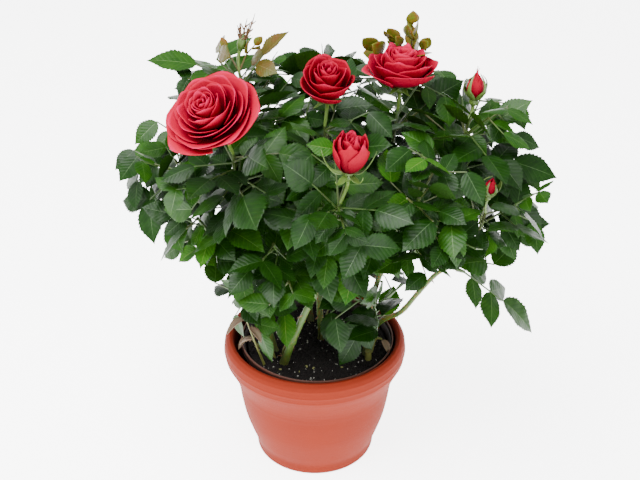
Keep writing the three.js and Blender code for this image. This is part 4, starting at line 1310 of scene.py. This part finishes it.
def sheet(grid, thickness):
    """A closed thin sheet from a grid of points: two sides and a rim."""
    rows, columns = grid.shape[:2]
    along, across = np.gradient(grid, axis=0), np.gradient(grid, axis=1)
    normals = np.cross(across, along)
    normals /= np.maximum(np.linalg.norm(normals, axis=2, keepdims=True), 1e-6)
    front, back = grid + normals * thickness / 2, grid - normals * thickness / 2
    points = np.vstack([front.reshape(-1, 3), back.reshape(-1, 3)])
    at = lambda i, j, side: side * rows * columns + i * columns + j
    faces = []
    for i in range(rows - 1):
        for j in range(columns - 1):
            faces.append((at(i, j, 0), at(i, j + 1, 0), at(i + 1, j + 1, 0), at(i + 1, j, 0)))
            faces.append((at(i, j, 1), at(i + 1, j, 1), at(i + 1, j + 1, 1), at(i, j + 1, 1)))
    rim = ([(0, j) for j in range(columns)] + [(i, columns - 1) for i in range(1, rows)]
           + [(rows - 1, j) for j in range(columns - 2, -1, -1)] + [(i, 0) for i in range(rows - 2, 0, -1)])
    for here, there in zip(rim, rim[1:] + rim[:1]):
        faces.append((at(*here, 0), at(*here, 1), at(*there, 1), at(*there, 0)))
    return points, faces


def sheets_made(name, grids, thickness, finish, points=(), faces=()):
    """One mesh of closed thin sheets, beside the points and faces of another body."""
    points, faces = [*points], [*faces]
    for grid in grids:
        sheet_points, sheet_faces = sheet(grid, thickness)
        faces += [tuple(v + len(points) for v in face) for face in sheet_faces]
        points.extend(sheet_points)
    return mesh_made(name, points, faces, finish)


def petal_sheet(turn, spread, reach, rim_height, roll, point, swirl, closing, draw):
    """One petal round the +Z axis from its foot up to its rim, in mm, and where each point lies on it."""
    u, v = np.meshgrid(np.linspace(-1, 1, petal_columns), np.linspace(0, 1, petal_rows))
    outline = 1 - 0.26 * np.abs(u) ** 2.6 + point * np.exp(-((u / 0.2) ** 2)) - point * 0.5
    wave = 0.035 * np.sin(u * (3 + 3 * next(draw)) + 6.3 * next(draw)) * v**2
    s = v * (outline + wave)
    rolled = np.clip((s - 0.72) / 0.3, 0, 1.3)
    angle = turn + u * spread * (0.62 + 0.38 * np.sin(np.clip(s, 0, 1) * math.pi * 0.62))
    flare = np.abs(u) ** 3 * roll * 0.35 * v
    away = (petal_foot + (reach - max(roll, 0) - petal_foot) * np.sin(np.clip(s, 0, 1) * math.pi / 2) ** 0.9
            + roll * rolled**1.3 + flare) * (1 + swirl * u) * (1 - closing * np.clip(s, 0, 1.1) ** 3)
    rim_top = max(roll, 0)
    high = 1.2 + (rim_height + rim_top * 0.35 - 1.2) * s**1.35 - rim_top * 0.75 * rolled**2
    grid = np.stack([away * np.cos(angle), away * np.sin(angle), high], axis=2)
    return grid, np.stack([u, s, np.full_like(u, next(draw))], axis=2)


def bloom_made(flower, sizes, draw):
    """The petals of one bloom, from its rolled heart outwards."""
    radius, depth = flower["radius"], flower["depth"] * sizes["tall"]
    heart = flower.get("heart", radius * 0.55)
    rim = flower.get("rim", 0.8)
    for i in range(sizes["heart_petals"]):
        share = (i + 1) / sizes["heart_petals"]
        yield petal_sheet(golden_petal * i, 2.5 - 0.9 * share, heart * (0.12 + 0.88 * share**0.9),
                          depth * (0.93 + 0.05 * math.sin(share * 3)), heart * 0.12 * share, 0.05, 0.16,
                          sizes["closing"], draw)
    for i in range(sizes["outer_petals"]):
        share = (i + 1) / sizes["outer_petals"]
        reach = heart + (radius * 1.17 - heart) * share**0.85 + (next(draw) - 0.5) * 1.2
        height = depth * (0.95 + (rim - 0.95) * share**1.4) + (next(draw) - 0.5) * 1.4
        turn = golden_petal * (i + sizes["heart_petals"]) + (next(draw) - 0.5) * 0.25
        yield petal_sheet(turn, sizes["spread"] * (1.12 - 0.12 * share), reach, height,
                          sizes["roll"] * (0.35 + 0.65 * share), sizes["point"], 0.05, sizes["closing"], draw)


def petal_red(tree, tone, lit, edge, foot_shade):
    """Velvety red in soft clouds with fine lengthwise veins, a painted rim highlight and painted shade at the
    foot.
    """
    on_petal = tree.node("ShaderNodeAttribute", {"attribute_name": "petal"}, out="Vector")
    across, along, chance = (tree.part(on_petal, letter) for letter in "XYZ")
    fibres = tree.node("ShaderNodeCombineXYZ", {}, {0: across * 9.0, 1: along * 1.2, 2: chance * 40.0})
    veins = tree.noise(fibres, 1.0, 3.0)
    patches = tree.clouds(0.08, 2.0)
    red = tree.mix((patches - 0.3) * 1.6, tone, lit)
    # Painted highlight: the rolled rim of each petal is paled to a lighter red.
    red = tree.mix((along - 0.93) * 9.0, red, edge)
    # Painted shade: the lower part of each petal, down inside the bloom, is darkened.
    red = tree.mix((0.78 - along) * 1.7, red, foot_shade)
    return {"Base Color": red, "Roughness": 0.5 + 0.12 * veins, "Specular IOR Level": 0.05,
            "Normal": tree.bump(veins, 0.22)}


bright_petals = finish_made("bright_petals", lambda tree: petal_red(
    tree, paint(216, 0, 54), paint(234, 0, 70), paint(246, 2, 92), paint(100, 0, 16)))
deep_petals = finish_made("deep_petals", lambda tree: petal_red(
    tree, paint(190, 0, 42), paint(208, 0, 54), paint(224, 2, 72), paint(80, 0, 12)))
for number, flower in enumerate(flowers):
    if flower["name"] not in blooms:
        continue
    petals = [*bloom_made(flower, blooms[flower["name"]], seeded(90 + number))]
    bloom = sheets_made(flower["name"] + "_petals",
                        [grid @ flower["axes"] + flower["base"] for grid, _ in petals], petal_thickness,
                        bright_petals if flower["radius"] > bright_from else deep_petals)
    mark(bloom, "petal", [[place, place] for _, place in petals], "FLOAT_VECTOR")
    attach(bloom, "root")
    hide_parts(flower["name"])

# ---------------------------------------------------------------- hips, sepals and flower stalks
# Under every bloom a rounded green hip on a smooth stalk, with five narrow sepals that close round a bud and
# hang or hook up under an open flower. Those of the green bud are feathered and reddish brown.
sepal_rows, sepal_columns = 10, 5
sepal_thickness = 0.5
bud_sepal_width = 2.6


def hip_sides(flower):
    """The turned profile of a flower's hip, or of a green bud: (radius, height over its base)."""
    wide = hip_of(flower)
    if flower["name"] == "bud_green":
        return [(0.0, -3.4), (1.2, -3.2), (2.5, -1.4), (3.5, 1.6), (3.6, 3.6), (3.0, 6.4), (1.8, 9.0),
                (0.0, 10.6)]
    shape = [(0.0, -1.5), (0.45, -1.3), (0.95, -0.75), (1.0, -0.2), (0.8, 0.25), (0.72, 0.6), (0.0, 0.7)]
    return [(wide * away, wide * high) for away, high in shape]


def sepal_sheet(root, direction, side, length, bend, wide, twist=0.0):
    """A narrow pointed sheet from its root that bends towards the vector bend."""
    s, u = np.meshgrid(np.linspace(0, 1, sepal_rows), np.linspace(-1, 1, sepal_columns), indexing="ij")
    half = wide * (1 - s**1.6) * (0.75 + 0.6 * np.sin(np.clip(s * 2.2, 0, 1) * math.pi)) + 0.12
    face = np.cross(direction, side)
    spin = twist * s
    across = side * np.cos(spin)[..., None] + face * np.sin(spin)[..., None]
    return (root + direction * (length * s)[..., None] + bend * (length * s**2)[..., None]
            + across * (half * u)[..., None] + face * (np.abs(u) * half * 0.35)[..., None])


sepal_finish = mottled("sepals", paint(76, 118, 26), paint(122, 152, 60), 0.5, 3.0, 0.5, 0.2)
feather_finish = mottled("brown_sepals", paint(128, 52, 30), paint(110, 96, 40), 0.4, 3.0, 0.55, 0.2)
flower_stalk_lines = []
for number, flower in enumerate(flowers):
    base, name = flower["base"], flower["name"]
    eastward, north, face = flower["axes"]
    draw = seeded(150 + number)
    hip_points, hip_faces = turned(hip_sides(flower), 16)
    grids = []
    is_green = name == "bud_green"
    wanted = sepals_of(flower)
    if not wanted:  # open roses: short sepals that hang under the petals
        for turn in np.radians(72 * np.arange(5) + 8):
            away = eastward * math.cos(turn) + north * math.sin(turn)
            wanted.append((base + away * hip_of(flower) * 0.8, unit(away - face * 0.35), np.cross(face, away),
                           min(flower["radius"] * 0.62, 15)))
    is_open = flower.get("sepals", (0, True))[1]
    for root, direction, side, length in wanted:
        away = unit(direction - face * direction.dot(face))
        grown = length * (0.9 + 0.2 * next(draw))
        if is_open:
            hook = 0.6 + 0.7 * next(draw) if "sepals" in flower else 0.2
            bend = face * hook - away * 0.15 + side * (next(draw) - 0.5) * 0.5
        elif is_green:
            direction, bend = unit(away * 0.28 + face), side * (next(draw) - 0.5) * 0.3 - away * 0.1
            grown = length * (0.5 + 0.35 * next(draw))
        else:
            direction, bend = away * 1.34 + face, away * (0.2 * next(draw) - 1.4)
            grown = length * (0.7 + 0.5 * next(draw))
        wide = min(hip_of(flower) * 0.62, 1.9) if is_open or is_green else bud_sepal_width
        twist = (next(draw) - 0.5) * (2.4 if is_open or is_green else 0.4)
        grids.append(sepal_sheet(root, direction, side, grown, bend, wide, twist))
        if is_green:
            for share, hand in ((0.3, 1), (0.42, -1), (0.56, 1), (0.68, -1)):
                along = root + direction * grown * share + bend * grown * share**2
                grids.append(sepal_sheet(along, unit(direction + side * hand * 0.9),
                                         unit(side - direction * hand * 0.4), 5.5, face * 0.1, 0.45))
    green = sheets_made(name + "_sepals", grids, sepal_thickness, sepal_finish,
                        hip_points @ flower["axes"] + base, hip_faces)
    if is_green:
        green.data.materials.append(feather_finish)
        feathers = [int(face >= len(hip_faces)) for face in range(len(green.data.polygons))]
        green.data.polygons.foreach_set("material_index", feathers)
    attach(green, "root")
    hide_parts(name)
    neck = base - face * 9
    path = through([flower["carrier"]["tip"], neck, base - face * hip_of(flower)])
    line = spread(path, 12)
    flower_stalk_lines.append((line, np.linspace(*flower_stalk_radii, len(line))))
flower_stalks = tubes_made("flower_stalks", flower_stalk_lines, 10, mottled(
    "flower_stalks", paint(104, 148, 44), paint(140, 172, 72), 0.4, 2.0, 0.42))
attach(flower_stalks, "root")

# ---------------------------------------------------------------- stubs and weak stems
# What is left low down: a cut stub and thin yellowed stems that bore no bloom. Each is its foot, a bend and
# its tip, as x, y and the height over the peat, then the radii of its foot and tip.
weak_stems = [
    ((-25.8, -26.9, -3), (-25, -26, 12), (-18, -27, 26), 1.3, 0.8),
    ((-34, -17, -3), (-45, -15, 7), (-54, -13, 15), 1.1, 0.6),
    ((-43.9, -3, -3), (-46, -3, 10), (-52, -4, 20), 1.0, 0.5),
    ((-31.7, -21, -3), (-36, -22, 12), (-43, -22, 25), 1.2, 0.7),
    ((43.5, -21.3, -3), (43.6, -21.3, 2), (43.4, -21.3, 7), 3.0, 2.8),
    ((46, -12, -3), (51, -10, 12), (55, -12, 12), 1.3, 0.9),
    ((24.9, -16, -3), (27, -15, 6), (31, -13, 13), 0.9, 0.5),
    ((8, 20, -3), (9, 22, 10), (12, 25, 19), 1.2, 0.8),
    ((-40, -30, -3), (-48, -34, 26), (-54, -38, 50), 1.2, 0.5),
]
weak_lines = []
for *bends, foot_radius, tip_radius in weak_stems:
    bends = [np.array([x, y, soil_top + height]) for x, y, height in bends]
    line = spread(through(bends), 12)
    weak_lines.append((line, np.linspace(foot_radius, tip_radius, len(line))))
weak = tubes_made("weak_stems", weak_lines, 10, mottled(
    "yellowed_stems", paint(108, 122, 40), paint(138, 132, 62), 0.4, 3.0, 0.6, 0.25))
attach(weak, "root")

# ---------------------------------------------------------------- young shoots
# Fresh growth over the crown: thin reddish stems that end in small bronze and green leaflets, which are still
# cupped along their midribs.
young_shoots = [
    # from, bend, to, leaflets, their length, share of the stem below them
    ((78, 71.5, 291), (75, 56, 328), (74, 46, 362), 7, 19.0, 0.5),
    ((75, 56, 328), (68, 50, 340), (61, 46, 350), 4, 18.0, 0.3),
    ((75, 56, 328), (80, 47, 338), (83, 40, 345), 4, 19.0, 0.3),
    ((76.5, 62, 313), (60, 52, 330), (48, 42, 342), 3, 27.0, 0.6),
    ((-56, 17, 335), (-50, 19, 348), (-44, 16, 356), 3, 14.0, 0.4),
    ((-56, 17, 335), (-61, 20, 343), (-66, 24, 351), 2, 12.0, 0.4),
]


def folded_leaflet(root, direction, side, length, open_by):
    """A small young leaflet, folded along its midrib like a boat."""
    s, u = np.meshgrid(np.linspace(0, 1, 9), np.linspace(-1, 1, 5), indexing="ij")
    half = length * 0.36 * np.sin(math.pi * s**0.85) ** 0.8 + 0.05
    face = np.cross(side, direction)
    return (root + direction * (length * s)[..., None] + side * (half * u * open_by)[..., None]
            + face * (np.abs(u) * half * (1.1 - open_by) - length * 0.22 * s**2)[..., None])


def around(axis, turn, hint):
    """A direction square to an axis, turned about it; at no turn it is square to the hint too."""
    across = unit(np.cross(axis, hint))
    return across * math.cos(turn) + np.cross(axis, across) * math.sin(turn)


young_thickness = 0.35
young_grids, young_lines = [], []
young_draw = seeded(77)
for root, bend, tip, count, length, bare in young_shoots:
    line = spread(through([root, bend, tip]), 20)
    axis = unit(line[-1] - line[-6])
    young_lines.append((line, np.linspace(0.9, 0.4, len(line))))
    for i in range(count):
        share = bare + (1 - bare) * (i + 1) / count
        start = line[round(share * 20)]
        away = around(axis, math.radians(golden_angle * i), [0.2, 1.0, 0.1])
        lean = 1.0 - 0.75 * share + 0.4 * next(young_draw)
        direction = unit(axis + away * lean)
        size = length * (1.15 - 0.45 * share) * (0.85 + 0.3 * next(young_draw))
        across = unit(np.cross(direction, away + axis * 0.1))
        young_grids.append(folded_leaflet(start, direction, across, size, 0.88 + 0.2 * next(young_draw)))


def bronze_young(tree):
    patches = tree.clouds(0.22, 3.0)
    return {"Base Color": tree.mix((patches - 0.2) * 2.2, paint(160, 84, 40), paint(116, 140, 36)),
            "Roughness": 0.42, "Specular IOR Level": 0.15}


young_leaves = sheets_made("young_leaves", young_grids, young_thickness,
                           finish_made("bronze_young", bronze_young))
young_stems = tubes_made("young_stems", young_lines, 8, mottled(
    "reddish_stems", paint(132, 72, 44), paint(96, 118, 44), 0.3, 2.0, 0.45))
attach(young_leaves, "root")
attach(young_stems, "root")

# ---------------------------------------------------------------- dry leaves
# A few curled dry leaflets still hang on the weak stems: on which stem, how far up, which way each points and
# how long it is.
dry_thickness = 0.3
dry_grids = []
for stem, step, turn, size in ((8, 12, 200, 19.0), (8, 10, 320, 16.0), (8, 7, 160, 15.0), (1, 12, 220, 13.0),
                               (5, 12, 300, 14.0), (3, 12, 190, 12.0)):
    place = weak_lines[stem][0][step]
    direction = unit(np.array([math.cos(math.radians(turn)), math.sin(math.radians(turn)), -0.45]))
    dry_grids.append(folded_leaflet(place, direction, unit(np.cross(direction, up)), size, 0.6))
dry_leaves = sheets_made("dry_leaves", dry_grids, dry_thickness, mottled(
    "dry_leaf", paint(150, 104, 84), paint(118, 112, 74), 0.25, 3.0, 0.7))
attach(dry_leaves, "root")

# ---------------------------------------------------------------- prickles
# Flat hooked prickles, broad at the foot and pointing down a little, spaced round the canes and thick boughs.
prickle_length, prickle_foot = 4.2, 1.7
prickle_spacing = 17.0


def prickle_points():
    """A hooked flat cone that points along +Z and droops towards -X."""
    heights = np.array([-0.12, 0.15, 0.45, 0.75])
    rings = []
    for height, wide in zip(heights, (1.0, 0.62, 0.32, 0.14)):
        turns = np.arange(8) * math.pi / 4
        rings.append(np.stack([np.cos(turns) * wide * prickle_foot - height**2 * prickle_length * 0.5,
                               np.sin(turns) * wide * prickle_foot * 0.42,
                               np.full(8, height * prickle_length)], axis=1))
    ends = [[0, 0, -0.12 * prickle_length], [-prickle_length * 0.52, 0, prickle_length]]
    return np.vstack([*rings, ends]), skin(len(rings), 8)


def prickles_set(tree, places, sizes):
    turn = tree.node("FunctionNodeAxesToRotation", {"primary_axis": "Z", "secondary_axis": "X"},
                     {"Primary Axis": tree.named("outward", "FLOAT_VECTOR"),
                      "Secondary Axis": tree.named("upward", "FLOAT_VECTOR")})
    prickle = tree.node("GeometryNodeObjectInfo", {}, {"Object": sizes["Prickle"]}, out="Geometry")
    made = tree.node("GeometryNodeInstanceOnPoints", {}, {
        "Points": places, "Instance": prickle, "Rotation": turn, "Scale": tree.named("size")})
    return tree.dressed(tree.node("GeometryNodeRealizeInstances", {}, {0: made}), sizes["Finish"])


prickle_draw = seeded(31)
prickle_places, outward, upward, prickle_sizes = [], [], [], []
for number, (line, radii) in enumerate(prickle_lines):
    total = np.linalg.norm(np.diff(line, axis=0), axis=1).sum()
    for k in range(int(total / prickle_spacing)):
        share = (k + 0.3 + 0.5 * next(prickle_draw)) * prickle_spacing / total
        at = share * (len(line) - 1)
        i = min(int(at), len(line) - 2)
        place = line[i] + (line[i + 1] - line[i]) * (at - i)
        tangent = unit(line[i + 1] - line[i])
        away = around(tangent, math.radians(golden_angle * k + 70 * number), [0.3, 1.0, 0.2])
        if place[2] < soil_top + 4:
            continue
        prickle_places.append(place + away * radii[i] * 0.85)
        outward.append(away)
        upward.append(tangent)
        prickle_sizes.append(0.65 + 0.5 * next(prickle_draw))
one_prickle = mesh_made("one_prickle", *prickle_points())
carrier = mesh_made("prickle_places", prickle_places, [])
mark(carrier, "outward", outward, "FLOAT_VECTOR")
mark(carrier, "upward", upward, "FLOAT_VECTOR")
mark(carrier, "size", prickle_sizes)
prickle_rule = rule_made("prickles_on_stems", {"Prickle": "Object", "Finish": "Material"}, prickles_set)
prickle_horn = mottled("prickle_horn", paint(150, 120, 58), paint(146, 92, 60), 0.6, 2.0, 0.4)
prickles = mesh_from_rule("prickles", carrier, prickle_rule, Prickle=one_prickle, Finish=prickle_horn)
bpy.data.objects.remove(one_prickle)
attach(prickles, "root")

# ---------------------------------------------------------------- stage
# A plain white sweep, soft light from above and a camera that looks down on the bush from the front.
floor_size = 40.0
floor = mesh_made("floor", np.array([(-1, -1, 0), (1, -1, 0), (1, 1, 0), (-1, 1, 0)]) * floor_size / 2 / MM,
                  [(0, 1, 2, 3)])
floor.data.materials.append(finish_made("white_sweep", lambda tree: {
    "Base Color": (0.86, 0.86, 0.87, 1.0), "Roughness": 0.9, "Specular IOR Level": 0.1,
    "Emission Color": (1.0, 1.0, 1.0, 1.0), "Emission Strength": 5.0}))

world = bpy.data.worlds.new("studio")
world.use_nodes = True
world.node_tree.nodes["Background"].inputs["Color"].default_value = (1.0, 1.0, 1.0, 1.0)
world.node_tree.nodes["Background"].inputs["Strength"].default_value = 1.15
bpy.context.scene.world = world


def softbox(name, place, aim, size, power):
    """A square soft light at a place in metres, turned to an aim."""
    lamp = bpy.data.lights.new(name, "AREA")
    lamp.shape = "SQUARE"
    lamp.size = size
    lamp.energy = power
    made = bpy.data.objects.new(name, lamp)
    made.location = place
    made.rotation_euler = (made.location - type(made.location)(aim)).to_track_quat("Z", "Y").to_euler()
    bpy.context.scene.collection.objects.link(made)


crown_middle = (0.0, 0.0, 0.22)
softbox("top_light", (-0.45, -0.35, 1.4), crown_middle, 1.2, 68.0)
softbox("front_light", (0.7, -1.3, 0.9), crown_middle, 0.8, 18.0)

camera_height, camera_distance = 0.6810527, 0.8245214
camera_tilt = 30.3  # degrees below level
camera_focal_pixels = 1207.0
frame_width = 640
camera = bpy.data.cameras.new("camera")
camera.sensor_width = 36.0
camera.lens = camera_focal_pixels * camera.sensor_width / frame_width
camera_stand = bpy.data.objects.new("camera", camera)
camera_stand.location = (0.0043082, -camera_distance, camera_height)
camera_stand.rotation_euler = (math.radians(90 - camera_tilt), 0, 0)
bpy.context.scene.collection.objects.link(camera_stand)
bpy.context.scene.camera = camera_stand
